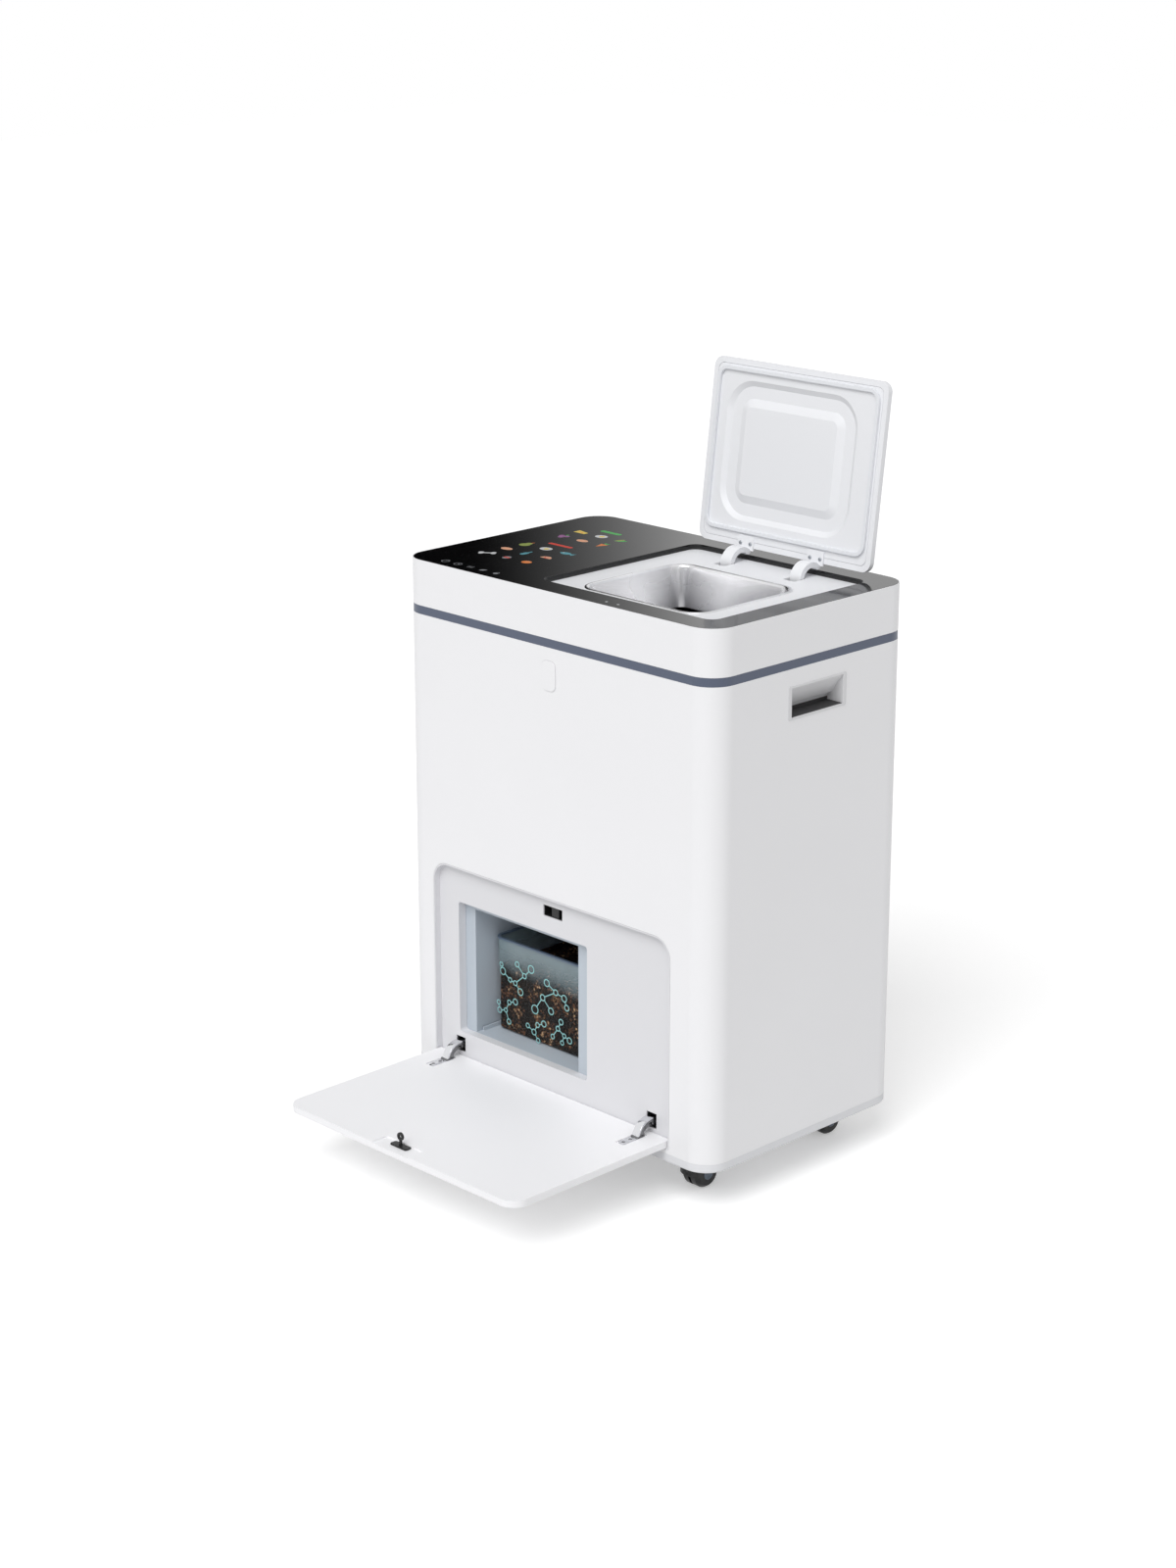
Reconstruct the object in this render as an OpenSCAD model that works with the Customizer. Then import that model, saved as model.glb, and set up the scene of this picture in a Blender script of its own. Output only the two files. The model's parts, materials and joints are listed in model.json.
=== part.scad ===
// Electric food waste composter: a cabinet on casters, with a lidded hopper in its top, a heated
// trough with turning paddles, and a compost bin behind a fold-down front door.
// Millimetres. The origin is on the floor under the middle of the cabinet. The front faces -Y.
// The lid and the door are drawn open, as the machine stands when it is filled and emptied.

/* [Cabinet] */
// Width of the cabinet
body_w = 560; // [552:2:600]
// Depth of the cabinet
body_d = 365; // [361:1:390]
// Height of the glass top above the floor
top_z = 764; // [758:2:800]
// Height of the cabinet's underside above the floor
base_z = 57; // [55:0.5:62]
// Radius of the upright corners
corner_r = 36; // [30:1:38]
// Wall of the body shell
body_wall = 2; // [1.8:0.1:2.2]
// Height of the base tray's skirt
skirt_h = 12; // [10:0.5:13]
// Thickness of the base tray
base_wall = 3; // [2.5:0.1:3.5]
// Height of the coloured band
band_h = 11.5; // [8:0.5:16]
// Height of the top cap
cap_h = 61; // [56:1:70]
// Gap between parts that fit together
fit = 0.3; // [0.25:0.05:0.4]

/* [Top] */
// Wall of the top cap
cap_wall = 3; // [2.5:0.1:3.5]
// Thickness of the glass
glass_t = 4; // [3:0.5:5]
// Width of the cap's rim round the glass
glass_rim = 1.2; // [1:0.1:2]
// Width of the glass border at the hopper's side, front and back
border = 39; // [36:1:42]
// Width of the opening in the glass
open_w = 300; // [296:1:304]
// Corner radius of the opening in the glass
open_r = 15; // [12:1:18]
// Depth of the white deck below the glass top
deck_drop = 7; // [6:0.5:9]
// Thickness of the deck
deck_t = 3; // [2.5:0.1:3.5]
// Thickness of the carrier under the glass
carrier_t = 3; // [2.5:0.1:3.5]

/* [Hopper] */
// Width of the funnel's mouth
mouth_w = 202; // [190:1:206]
// Depth of the funnel's mouth
mouth_d = 182; // [170:1:184]
// Corner radius of the funnel's mouth
mouth_r = 25; // [18:1:30]
// Width of the funnel's throat
throat_w = 90; // [80:1:96]
// Depth of the funnel's throat
throat_d = 100; // [90:1:110]
// Sheet thickness of the funnel
sheet_t = 1.2; // [1:0.1:1.5]
// Width of the funnel's rolled rim
rim_w = 6; // [5:0.5:7]

/* [Lid] */
// Angle of the open lid from closed
lid_open = 97; // [90:1:100]
// Width of the lid
lid_w = 297; // [294:0.5:298]
// Length of the lid
lid_l = 242; // [238:1:243]
// Thickness of the lid
lid_t = 9; // [8:0.5:11]
// Height of the closed lid's inner face above the deck
lid_lift = 4.5; // [4:0.1:5.5]
// Width of the lid's border outside the liner
lid_border = 8; // [7:0.5:10]
// Distance between the two hinge arms
arm_gap = 121; // [110:1:126]
// Width of a hinge arm
neck_w = 18; // [15:0.5:19]
// Radius of a hinge arm's curve at its middle
neck_r = 19; // [18.5:0.1:19.3]
// Thickness of a hinge arm in its curve
neck_t = 7; // [5.5:0.5:7]
// Radius of the lid's hinge pins
lid_pin_r = 2.5; // [2:0.1:3]

/* [Door bay] */
// Width of the front that stays beside the door bay, mean of the two sides
bay_side = 62; // [61:0.5:66]
// Height of the door bay
bay_h = 278; // [276:1:284]
// Offset of the door bay's middle to the left of the cabinet's middle
bay_shift = 6.8; // [0:0.2:10]
// Depth of the door bay
bay_depth = 10; // [10:0.1:11]
// Radius of the door bay's top corners
bay_r = 25; // [20:1:30]
// Wall of the bay panel and its liner
bay_wall = 2; // [1.8:0.1:2.2]
// Width of the hatch
hatch_w = 244; // [240:1:248]
// Height of the bay's face above the hatch
hatch_head = 50.4; // [46:0.2:52]
// Depth of the hatch's rebate
rebate = 12.5; // [11:0.5:14]

/* [Door] */
// Thickness of the door
door_t = 9.2; // [8.4:0.1:9.2]
// Distance from each hinge arm to the side of the door bay
door_arm_in = 38; // [32:1:42]
// Width of a door hinge arm
door_arm_w = 11; // [9:0.5:13]
// Radius of the door's hinge pins
door_pin_r = 2; // [1.6:0.1:2]
// Distance from the door's free edge to the striker
striker_in = 18.1; // [15:0.1:20]
// Distance of the striker to the left of the door's middle
striker_shift = 10; // [8:0.5:11]
// Radius of the striker's eye
eye_r = 5.4; // [4.5:0.1:5.5]
// Width of the recess round the striker
grip_w = 68; // [50:1:80]

/* [Bin] */
// Width of the compost bin
bin_w = 186; // [176:1:188]
// Depth of the compost bin
bin_d = 230; // [215:1:240]
// Height of the compost bin without its rim
bin_h = 130; // [115:1:140]
// Wall of the compost bin
bin_wall = 2.5; // [2:0.1:3]
// Share of the bin that the compost fills
bin_fill = 0.7; // [0.5:0.05:0.8]

/* [Trough] */
// Inner radius of the trough
trough_r = 110; // [108:0.5:110.5]
// Space for the drive between the trough and the cabinet's right side
drive_space = 162; // [160:1:164]
// Height of the trough's walls above the shaft
trough_up = 143; // [140:1:146]
// Sheet thickness of the trough
trough_t = 2; // [1.5:0.1:2.2]
// Gap between the paddles and the trough
paddle_gap = 5; // [4:0.5:8]
// Number of paddles
paddle_count = 5; // [4:1:6]
// Radius of the agitator shaft
shaft_r = 11; // [9:0.5:12]

/* [Drive] */
// Module of the gear teeth
gear_module = 3; // [2.8:0.1:3]
// Teeth on the drive gear
gear_teeth = 48; // [44:2:50]
// Teeth on the motor pinion
pinion_teeth = 14; // [13:1:15]
// Width of the drive gear
gear_w = 12; // [10:0.5:13]
// Radius of the pinion's shaft
pinion_shaft_r = 5; // [4:0.5:6]

/* [Casters] */
// Radius of the caster wheels
wheel_r = 20; // [18:0.5:20.5]
// Trail of the wheels behind the caster's swivel
trail = 10; // [8:0.5:12]
// Distance from the cabinet's sides to the casters
caster_side = 80; // [70:1:90]
// Distance from the cabinet's front and back to the casters
caster_end = 62.5; // [56.5:0.5:70]

/* [Hidden] */
$fn = 48;
run = 0.05; // running clearance of a shaft in its bore
over = 1; // how far a cut runs past the face that it opens
front_y = -body_d / 2;
back_y = body_d / 2;
floor_z = base_z + base_wall; // top of the base tray's floor
shell_z0 = base_z + skirt_h;
cap_z0 = top_z - cap_h;
band_z0 = cap_z0 - band_h;
glass_z0 = top_z - glass_t;
ledge_w = 10; // reach of the cap's ledge in from the outside
deck_z = top_z - deck_drop; // top of the deck
open_d = body_d - 2 * border;
open_x = body_w / 2 - border - open_w / 2;
open_back = open_d / 2;
collar_h = 9; // depth of the carrier's collar round the deck
deck_flange = 15;
deck_wall = 2.5;
// Lid in its closed place: the rear edge, the pivot, and the middle of the hinge arms' curve
hinge_strip = 43.5;
lid_back = open_back - hinge_strip;
lid_z = deck_z + lid_lift;
lid_y = lid_back - lid_l / 2;
lid_r = open_r - (open_w - lid_w) / 2;
lid_pivot_y = open_back - 15.1;
lid_pivot_z = lid_z - 15.8;
neck_at = [-8.2, 1];
mouth_x = open_x - 2;
mouth_y = lid_y - 4;
hinge_x = mouth_x;
// Bay, hatch, liner and door
bay_w = body_w - 2 * bay_side;
bay_x = -bay_shift;
bay_z0 = base_z + 20;
bay_y = front_y + bay_depth; // the recessed face
flange_w = 10;
pivot_y = front_y + 0.5 + door_t / 2;
pivot_z = bay_z0 + fit + door_t / 2;
door_gap = 1.5;
door_l = bay_z0 + bay_h - 2 - pivot_z;
boss_l = 8;
hatch_x = bay_x - 59.2;
hatch_z0 = bay_z0 + 42;
hatch_h = bay_z0 + bay_h - hatch_head - hatch_z0;
door_arm_x = bay_w / 2 - door_arm_in;
hinge_hole = [17.6, 21];
hinge_hole_z = pivot_z + 19.1;
catch_hole = [35, 15];
striker_l = door_l - striker_in;
catch_z = pivot_z + striker_l;
striker_x = bay_x - striker_shift;
grip_d = 26;
grip_t = 2;
bin_side = 5; // gap beside the bin
liner_w = bin_w + 2 * bin_side;
liner_h = hatch_h - 9.6;
liner_x = hatch_x - 5;
liner_y0 = bay_y + rebate;
bin_front = 30; // depth of the bay in front of the bin
bin_behind = 15;
liner_d = bin_front + bin_d + bin_behind;
liner_z0 = hatch_z0;
liner_top = liner_z0 + liner_h + bay_wall;
// Bin
bin_x = liner_x;
bin_y0 = liner_y0 + bin_front;
bin_z0 = liner_z0 + fit;
bin_r = 12;
rim_h = 3;
guide_h = 6;
// Trough, outlet and drive
chute_h = 46;
axis_z = liner_top + chute_h + trough_t + trough_r;
trough_side = 45; // space for the bearing at the left
trough_x0 = trough_side - body_w / 2;
trough_x1 = body_w / 2 - drive_space;
trough_l = trough_x1 - trough_x0;
flange_z = axis_z + trough_up; // top of the trough's flanges
flange_out = 16;
end_t = 3;
cover_t = 2;
chute_x = bin_x;
chute_y = -15;
chute_w = 100;
chute_d = 84;
chute_wall = 3;
gate_t = 3;
gate_z = liner_top + 24;
gate_travel = 90;
rod_r = 4;
rail_roof = 2 + fit; // top of the gate's rails above the gate
actuator_x = chute_x + chute_w / 2 + 26;
actuator_z = gate_z + gate_t + rail_roof + fit + 3.4;
throat_x = trough_x1 - end_t - 5 - throat_w / 2 - sheet_t;
throat_y = -10;
funnel_steps = 6; // points along each corner of the funnel, less one
seal_t = 5;
bearing_l = 14;
gear_x0 = trough_x1 + end_t + bearing_l + 3;
gear_distance = gear_module * (gear_teeth + pinion_teeth) / 2;
pressure_angle = 25;
backlash = 0.3;
motor_z = axis_z - gear_distance;
bracket_x = gear_x0 + gear_w + 6;
bracket_t = 4;
standoff_r = 6;
paddle_r = trough_r - paddle_gap;
// Air path
air_x = 110 - body_w / 2;
air_z = flange_z + 44;
canister_r = 36;
fan_y = 62;
fan_w = 72;
fan_t = 25;
fan_bore = 33;
// Frame
post = 20;
post_t = 2;
post_x = body_w / 2 - 18;
post_y = body_d / 2 - 17.5;
rail_z = flange_z - trough_t; // top of the rails that carry the trough
rail_y = trough_r + trough_t + 3;
// Rear cover
tongue = 5; // reach of the band's tongue into the shell and the cap
rear_w = body_w - 104;
rear_z0 = 100;
rear_lap = 5;
rear_z1 = band_z0 - tongue - rear_lap - fit;
board_x = body_w / 2 - 115;
board_z = 220;
board_w = 140;
board_h = 120;
inlet_x = 100 - body_w / 2;
inlet_z = 150;
socket = [24, 17];
// Side handles
handle_y = 7;
handle_z = 648;
handle_l = 108;
handle_h = 43.5;
handle_depth = 28;
bezel_t = 0.8;
// Casters
caster_x = body_w / 2 - caster_side;
caster_y = body_d / 2 - caster_end;
plate_t = 3;
stem_r = 5;
hood_r = wheel_r + 5.5;
SIDES = [-1, 1];
FRONT_LEFT = [-1, -1];
FRONT_RIGHT = [1, -1];
REAR_LEFT = [-1, 1];
REAR_RIGHT = [1, 1];

// Rounded rectangle about the origin
module rrect(w, d, r) {
    square([w - 2 * r, d], center = true);
    square([w, d - 2 * r], center = true);
    for (sx = SIDES, sy = SIDES)
        translate([sx * (w / 2 - r), sy * (d / 2 - r)]) circle(r);
}

// Ring between two rounded rectangles, t wide, its outside w by d
module rring(w, d, r, t) {
    difference() {
        rrect(w, d, r);
        rrect(w - 2 * t, d - 2 * t, max(r - t, 0.5));
    }
}

// A flat shape drawn in X and Z, from y0 for t towards the back
module face_y(y0, t) {
    translate([0, y0 + t, 0]) rotate([90, 0, 0]) linear_extrude(t) children();
}

// A flat shape drawn in Y and Z, from x0 for t towards the right
module face_x(x0, t) {
    translate([x0, 0, 0]) rotate([90, 0, 90]) linear_extrude(t) children();
}

// A flat shape drawn in X and Y, from z0 up for t
module level(z0, t) {
    translate([0, 0, z0]) linear_extrude(t) children();
}

// A cylinder along X about (y, z)
module rod_x(x0, l, r, y = 0, z = 0) {
    translate([x0, y, z]) rotate([0, 90, 0]) cylinder(h = l, r = r);
}

// A cylinder along Y about (x, z)
module rod_y(y0, l, r, x = 0, z = 0) {
    translate([x, y0, z]) rotate([-90, 0, 0]) cylinder(h = l, r = r);
}

// Sweeps a profile round a rounded rectangle: its x points outwards and its y up
module sweep_round(w, d, r) {
    for (sx = SIDES, sy = SIDES)
        translate([sx * (w / 2 - r), sy * (d / 2 - r), 0])
            mirror([sx < 0 ? 1 : 0, 0, 0]) mirror([0, sy < 0 ? 1 : 0, 0])
                rotate_extrude(angle = 90) translate([r, 0]) children();
    for (side = [0, 180]) rotate([0, 0, side]) {
        translate([w / 2, d / 2 - r, 0]) rotate([90, 0, 0]) linear_extrude(d - 2 * r) children();
        rotate([0, 0, 90]) translate([d / 2, w / 2 - r, 0]) rotate([90, 0, 0])
            linear_extrude(w - 2 * r) children();
    }
}

// Pie slice from angle a0 to a1
module wedge(a0, a1, r) {
    steps = 8;
    arc = [for (i = [0:steps]) a0 + (a1 - a0) * i / steps];
    polygon(concat([[0, 0]], [for (a = arc) [r * cos(a), r * sin(a)]]));
}

// Part of a ring from angle a0 to a1
module ring_sector(r0, r1, a0, a1) {
    intersection() {
        difference() {
            circle(r1);
            circle(r0);
        }
        wedge(a0, a1, 2 * r1);
    }
}

// Involute gear: points of one flank from the root to the tip
function involute(base, r) = sqrt(max(r * r / (base * base) - 1, 0)) * 180 / PI
    - acos(min(base / r, 1));
function gear_flank(teeth, side, centre) =
    let (
        pitch_r = gear_module * teeth / 2,
        base = pitch_r * cos(pressure_angle),
        root = pitch_r - 1.25 * gear_module,
        tip = pitch_r + gear_module,
        half = 90 / teeth - backlash / 2 / pitch_r * 90 / PI + involute(base, pitch_r),
        radii = [root, max(base, root + 0.3), pitch_r, (pitch_r + tip) / 2, tip]
    )
    [for (r = radii) let (a = centre + side * (half - involute(base, r))) [r * cos(a), r * sin(a)]];
function reversed(list) = [for (i = [len(list) - 1:-1:0]) list[i]];

// Gear outline with a tooth at angle phase
module gear_outline(teeth, phase) {
    polygon([for (i = [0:teeth - 1], points = [gear_flank(teeth, -1, phase + i * 360 / teeth),
        reversed(gear_flank(teeth, 1, phase + i * 360 / teeth))], p = points) p]);
}

// Shapes that several pieces share

module bay_shape(grow) {
    w = bay_w + 2 * grow;
    h = bay_h + 2 * grow;
    translate([bay_x, bay_z0 + bay_h / 2]) {
        rrect(w, h, bay_r + grow);
        translate([-w / 2, -h / 2]) square([w, h / 2]);
    }
}

module hatch_shape(grow) {
    translate([hatch_x, hatch_z0 + hatch_h / 2])
        rrect(hatch_w + 2 * grow, hatch_h + 2 * grow, 4 + grow);
}

module rear_shape(grow) {
    translate([0, (rear_z0 + rear_z1) / 2])
        rrect(rear_w + 2 * grow, rear_z1 - rear_z0 + 2 * grow, 14 + grow);
}

module handle_shape(shrink) {
    translate([handle_y, handle_z]) rrect(handle_l - 2 * shrink, handle_h - 2 * shrink, 3);
}

module at_hinges() {
    for (s = SIDES) translate([hinge_x + s * arm_gap / 2, 0, 0]) children();
}

module at_casters() {
    for (sx = SIDES, sy = SIDES) translate([sx * caster_x, sy * caster_y, 0]) children();
}

module at_door_arms() {
    for (s = SIDES) translate([bay_x + s * door_arm_x, 0, 0]) children();
}

// Cabinet

module body_shell() {
    color("whitesmoke") difference() {
        level(shell_z0, band_z0 - shell_z0) rring(body_w, body_d, corner_r, body_wall);
        face_y(front_y - over, body_wall + 2 * over) bay_shape(bay_wall + fit);
        face_y(back_y - body_wall - over, body_wall + 2 * over) rear_shape(0);
        face_x(-body_w / 2 - over, body_wall + 2 * over) handle_shape(1.5);
        face_x(body_w / 2 - body_wall - over, body_wall + 2 * over) handle_shape(1.5);
    }
}

module base_tray() {
    lip = 3;
    color("gainsboro") {
        level(base_z, base_wall)
            rrect(body_w - 2 * lip, body_d - 2 * lip, corner_r - lip);
        translate([0, 0, base_z]) sweep_round(body_w - 2 * lip, body_d - 2 * lip, corner_r - lip)
            intersection() {
                union() {
                    translate([0, lip]) circle(lip);
                    translate([0, lip]) square([lip, skirt_h - lip]);
                }
                square([lip, skirt_h]);
            }
    }
}

module vent_slots(x, z, w, rows) {
    pitch = 8;
    for (i = [0:rows - 1])
        translate([x, z + (i - (rows - 1) / 2) * pitch]) rrect(w, 3.4, 1.6);
}

module rear_cover() {
    boss_y = back_y - body_wall - fit - 2;
    color("whitesmoke") {
        difference() {
            union() {
                face_y(back_y - body_wall, body_wall) rear_shape(-0.5);
                face_y(boss_y, body_wall + fit) rear_shape(-3);
                face_y(boss_y, 2) rear_shape(rear_lap);
            }
            face_y(boss_y - over, 10) {
                intersection() {
                    vent_slots(air_x, air_z, 56, 8);
                    rear_shape(-8);
                }
                vent_slots(board_x, board_z - 40, 110, 7);
                vent_slots(board_x, 360, 110, 7);
                translate([inlet_x, inlet_z]) rrect(30 + 2 * fit, 54 + 2 * fit, 2);
            }
        }
        for (sx = SIDES, sz = SIDES)
            rod_y(boss_y - 12, 12, 3.5, board_x + sx * (board_w / 2 - 6),
                board_z + sz * (board_h / 2 - 6));
    }
}

module stripe_band() {
    inset = 0.4;
    color("slategray") level(band_z0, band_h)
        rring(body_w - 2 * inset, body_d - 2 * inset, corner_r - inset, cap_wall + 2.5);
    color("slategray") level(band_z0 - tongue, band_h + 2 * tongue)
        rring(body_w - 2 * cap_wall - 2 * fit, body_d - 2 * cap_wall - 2 * fit,
            corner_r - cap_wall - fit, 2.5);
}

module top_cap() {
    ledge_t = 3;
    color("white") {
        level(cap_z0, cap_h - glass_t) rring(body_w, body_d, corner_r, cap_wall);
        level(glass_z0 - ledge_t, ledge_t) rring(body_w - 1, body_d - 1, corner_r - 0.5, ledge_w - 0.5);
        level(glass_z0, glass_t) rring(body_w, body_d, corner_r, glass_rim);
    }
}

module glass_panel() {
    gap = glass_rim + 0.2;
    color("black") level(glass_z0, glass_t) difference() {
        rrect(body_w - 2 * gap, body_d - 2 * gap, corner_r - gap);
        translate([open_x, 0]) rrect(open_w, open_d, open_r);
    }
}

module panel_carrier() {
    edge = ledge_w + fit;
    collar = 3;
    color("black") {
        level(glass_z0 - carrier_t, carrier_t) difference() {
            rrect(body_w - 2 * edge, body_d - 2 * edge, corner_r - edge);
            translate([open_x, 0]) rrect(open_w, open_d, open_r);
        }
        translate([open_x, 0, 0]) level(deck_z - collar_h, glass_z0 - deck_z + collar_h)
            rring(open_w + 2 * collar, open_d + 2 * collar, open_r + collar, collar);
    }
}

module hopper_deck() {
    bottom = deck_z - collar_h - fit - 2.2;
    w = open_w - 2 * fit;
    d = open_d - 2 * fit;
    slot_d = 22;
    color("white") difference() {
        translate([open_x, 0, 0]) {
            level(deck_z - deck_t, deck_t) rrect(w, d, open_r - fit);
            level(bottom, deck_z - bottom) rring(w, d, open_r - fit, deck_wall);
            level(bottom, 2.2) rring(w + 2 * deck_flange, d + 2 * deck_flange,
                open_r + deck_flange, deck_flange + deck_wall);
        }
        translate([mouth_x, mouth_y, 0]) level(deck_z - deck_t - over, deck_t + 2 * over)
            rrect(mouth_w + 4, mouth_d + 4, mouth_r + 2);
        // Slots that the hinge arms swing through
        at_hinges() translate([0, lid_pivot_y - 21.5, 0])
            level(deck_z - deck_t - over, deck_t + 2 * over) rrect(neck_w + 2, slot_d, 2);
    }
}

// The funnel's wall: its inside runs from the throat at the trough's cover to the mouth at the
// deck, and each row is a rounded rectangle at a height, grown outwards from that inside
function funnel_mix(low, high, z) =
    low + (high - low) * min(max((z - flange_z) / (deck_z - flange_z), 0), 1);
function funnel_row(z, grow) =
    let (
        w = funnel_mix(throat_w, mouth_w, z) / 2,
        d = funnel_mix(throat_d, mouth_d, z) / 2,
        r = funnel_mix(6, mouth_r, z),
        x = funnel_mix(throat_x, mouth_x, z),
        y = funnel_mix(throat_y, mouth_y, z)
    )
    [for (quarter = [0:3], i = [0:funnel_steps])
        let (
            a = 90 * (quarter + i / funnel_steps),
            sx = quarter == 0 || quarter == 3 ? 1 : -1,
            sy = quarter < 2 ? 1 : -1
        )
        [x + sx * (w - r) + (r + grow) * cos(a), y + sy * (d - r) + (r + grow) * sin(a), z]];

module hopper_funnel() {
    spout = 8;
    lip_t = 1.3;
    rows = [
        [flange_z - spout, 0], [flange_z, 0], [deck_z - 2, 0], [deck_z + 0.4, 0.2],
        [deck_z + 1, 0.8], [deck_z + lip_t, 1.8], [deck_z + lip_t, rim_w - 0.8],
        [deck_z + 0.9, rim_w], [deck_z + 0.1, rim_w], [deck_z + 0.1, 1.8],
        [deck_z - 2, sheet_t], [flange_z, sheet_t], [flange_z - spout, sheet_t]
    ];
    n = 4 * (funnel_steps + 1);
    points = [for (row = rows, p = funnel_row(row[0], row[1])) p];
    faces = [for (i = [0:len(rows) - 1], j = [0:n - 1])
        let (
            near = i * n,
            far = (i + 1) % len(rows) * n,
            k = (j + 1) % n
        )
        each [[near + j, far + j, far + k], [near + j, far + k, near + k]]];
    color("silver") polyhedron(points, faces);
}

module front_badge() {
    color("whitesmoke") face_y(front_y - 1.2, 1.2) translate([bay_x + 4.8, 655]) rrect(24, 39, 8);
}

module door_bay_panel() {
    back_t = bay_wall;
    shell_in = front_y + body_wall + fit;
    color("whitesmoke") difference() {
        union() {
            face_y(front_y, bay_depth + back_t) bay_shape(bay_wall);
            face_y(shell_in, 2) intersection() {
                bay_shape(flange_w);
                translate([bay_x - bay_w, bay_z0 - bay_wall]) square([2 * bay_w, 2 * bay_h]);
            }
            face_y(bay_y, rebate) hatch_shape(bay_wall);
            // Bosses for the door's hinge pins
            for (s = SIDES) intersection() {
                rod_x(s > 0 ? bay_x + bay_w / 2 : bay_x - bay_w / 2 - boss_l, boss_l, 4.4,
                    pivot_y, pivot_z);
                face_x(-body_w / 2, body_w) translate([shell_in, 0]) square([40, 2 * bay_z0]);
            }
        }
        face_y(front_y - over, bay_depth + over) bay_shape(0);
        face_y(bay_y - over, rebate + 2 * over) hatch_shape(0);
        face_y(bay_y - over, back_t + 2 * over) {
            at_door_holes() square(hinge_hole, center = true);
            translate([bay_x, catch_z]) square(catch_hole, center = true);
        }
        rod_x(bay_x - bay_w / 2 - boss_l - over, bay_w + 2 * boss_l + 2 * over,
            door_pin_r + run, pivot_y, pivot_z);
    }
}

module at_door_holes() {
    for (s = SIDES) translate([bay_x + s * door_arm_x, hinge_hole_z]) children();
}

module bin_bay_liner() {
    leg_t = 4;
    color("lightsteelblue") {
        difference() {
            union() {
                translate([liner_x - liner_w / 2 - bay_wall, liner_y0 + fit, liner_z0 - bay_wall])
                    cube([liner_w + 2 * bay_wall, liner_d + bay_wall - fit,
                        liner_h + 2 * bay_wall]);
                face_y(liner_y0 + fit, bay_wall) hatch_shape(flange_w);
            }
            translate([liner_x - liner_w / 2, liner_y0 - over, liner_z0])
                cube([liner_w, liner_d + over, liner_h]);
            translate([chute_x - chute_w / 2, chute_y - chute_d / 2, liner_z0 + liner_h - over])
                cube([chute_w, chute_d, bay_wall + 2 * over]);
        }
        // Ribs that keep the bin straight
        for (s = SIDES)
            translate([bin_x + s * (bin_w / 2 + 2) - 1, liner_y0 + 10, liner_z0])
                cube([2, liner_d - 15, guide_h]);
        // Feet on the base tray
        for (y = [liner_y0 + 40, liner_y0 + liner_d - 40])
            translate([liner_x - liner_w / 2, y, floor_z])
                cube([liner_w, leg_t, liner_z0 - bay_wall - floor_z]);
    }
}

module catch_housing() {
    depth = 28;
    w = catch_hole[0] + 5;
    h = catch_hole[1] + 5;
    color("black") difference() {
        face_y(bay_y + bay_wall, depth) translate([bay_x, catch_z]) rrect(w, h, 2);
        face_y(bay_y + bay_wall - over, depth - 2 + over) translate([bay_x, catch_z])
            square(catch_hole, center = true);
    }
}

module catch_hook() {
    // Drawn back from the striker's eye: it slides behind the eye to hold the door
    tip = eye_r + fit;
    arm_x = 15;
    h = catch_hole[1] - 2 * fit;
    color("dimgray") translate([striker_x, bay_y + bay_wall + fit, catch_z - h / 2]) {
        translate([arm_x, 0, 0]) cube([4, 20, h]);
        translate([tip, 0, 0]) cube([arm_x - tip, 2.5, h]);
    }
}

module handle_pocket() {
    // Depth into the cabinet and height, from the open side round the sloped back to the slot
    low = handle_z - handle_h / 2 + 3;
    high = handle_z + handle_h / 2 - 3;
    color("gainsboro") difference() {
        union() {
            face_x(body_w / 2, bezel_t) handle_shape(0);
            face_x(body_w / 2 - handle_depth, handle_depth) handle_shape(1.5 + fit);
        }
        translate([0, handle_y + handle_l / 2 - 6, 0]) rotate([90, 0, 0])
            linear_extrude(handle_l - 12) polygon([
                [body_w / 2 + 2, low], [body_w / 2 + 2, high], [body_w / 2, high],
                [body_w / 2 - 7, high - 9], [body_w / 2 - 19, low + 11],
                [body_w / 2 - 26, low + 11], [body_w / 2 - 26, low]
            ]);
    }
}

module handle_right() {
    handle_pocket();
}

module handle_left() {
    mirror([1, 0, 0]) handle_pocket();
}

module inner_frame() {
    cross_x = post_x - post;
    color("dimgray") {
        for (sx = SIDES, sy = SIDES)
            translate([sx * post_x, sy * post_y, 0]) mirror([sx > 0 ? 1 : 0, 0, 0])
                mirror([0, sy > 0 ? 1 : 0, 0]) level(floor_z, rail_z - floor_z) {
                    square([post, post_t]);
                    square([post_t, post]);
                }
        for (sx = SIDES) mirror([sx < 0 ? 1 : 0, 0, 0])
            translate([cross_x, -post_y, rail_z - post]) {
                cube([post_t, 2 * post_y, post]);
                translate([0, 0, post - post_t]) cube([post, 2 * post_y, post_t]);
            }
        for (sy = SIDES) mirror([0, sy < 0 ? 1 : 0, 0])
            translate([-cross_x - post_t, rail_y, rail_z - post_t]) {
                cube([2 * cross_x + 2 * post_t, post, post_t]);
                translate([0, post - post_t, post_t - post])
                    cube([2 * cross_x + 2 * post_t, post_t, post]);
            }
    }
}

// Trough and agitator

module trough_section(r) {
    circle(r, $fn = 96);
    translate([-r, 0]) square([2 * r, trough_up]);
}

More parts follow.
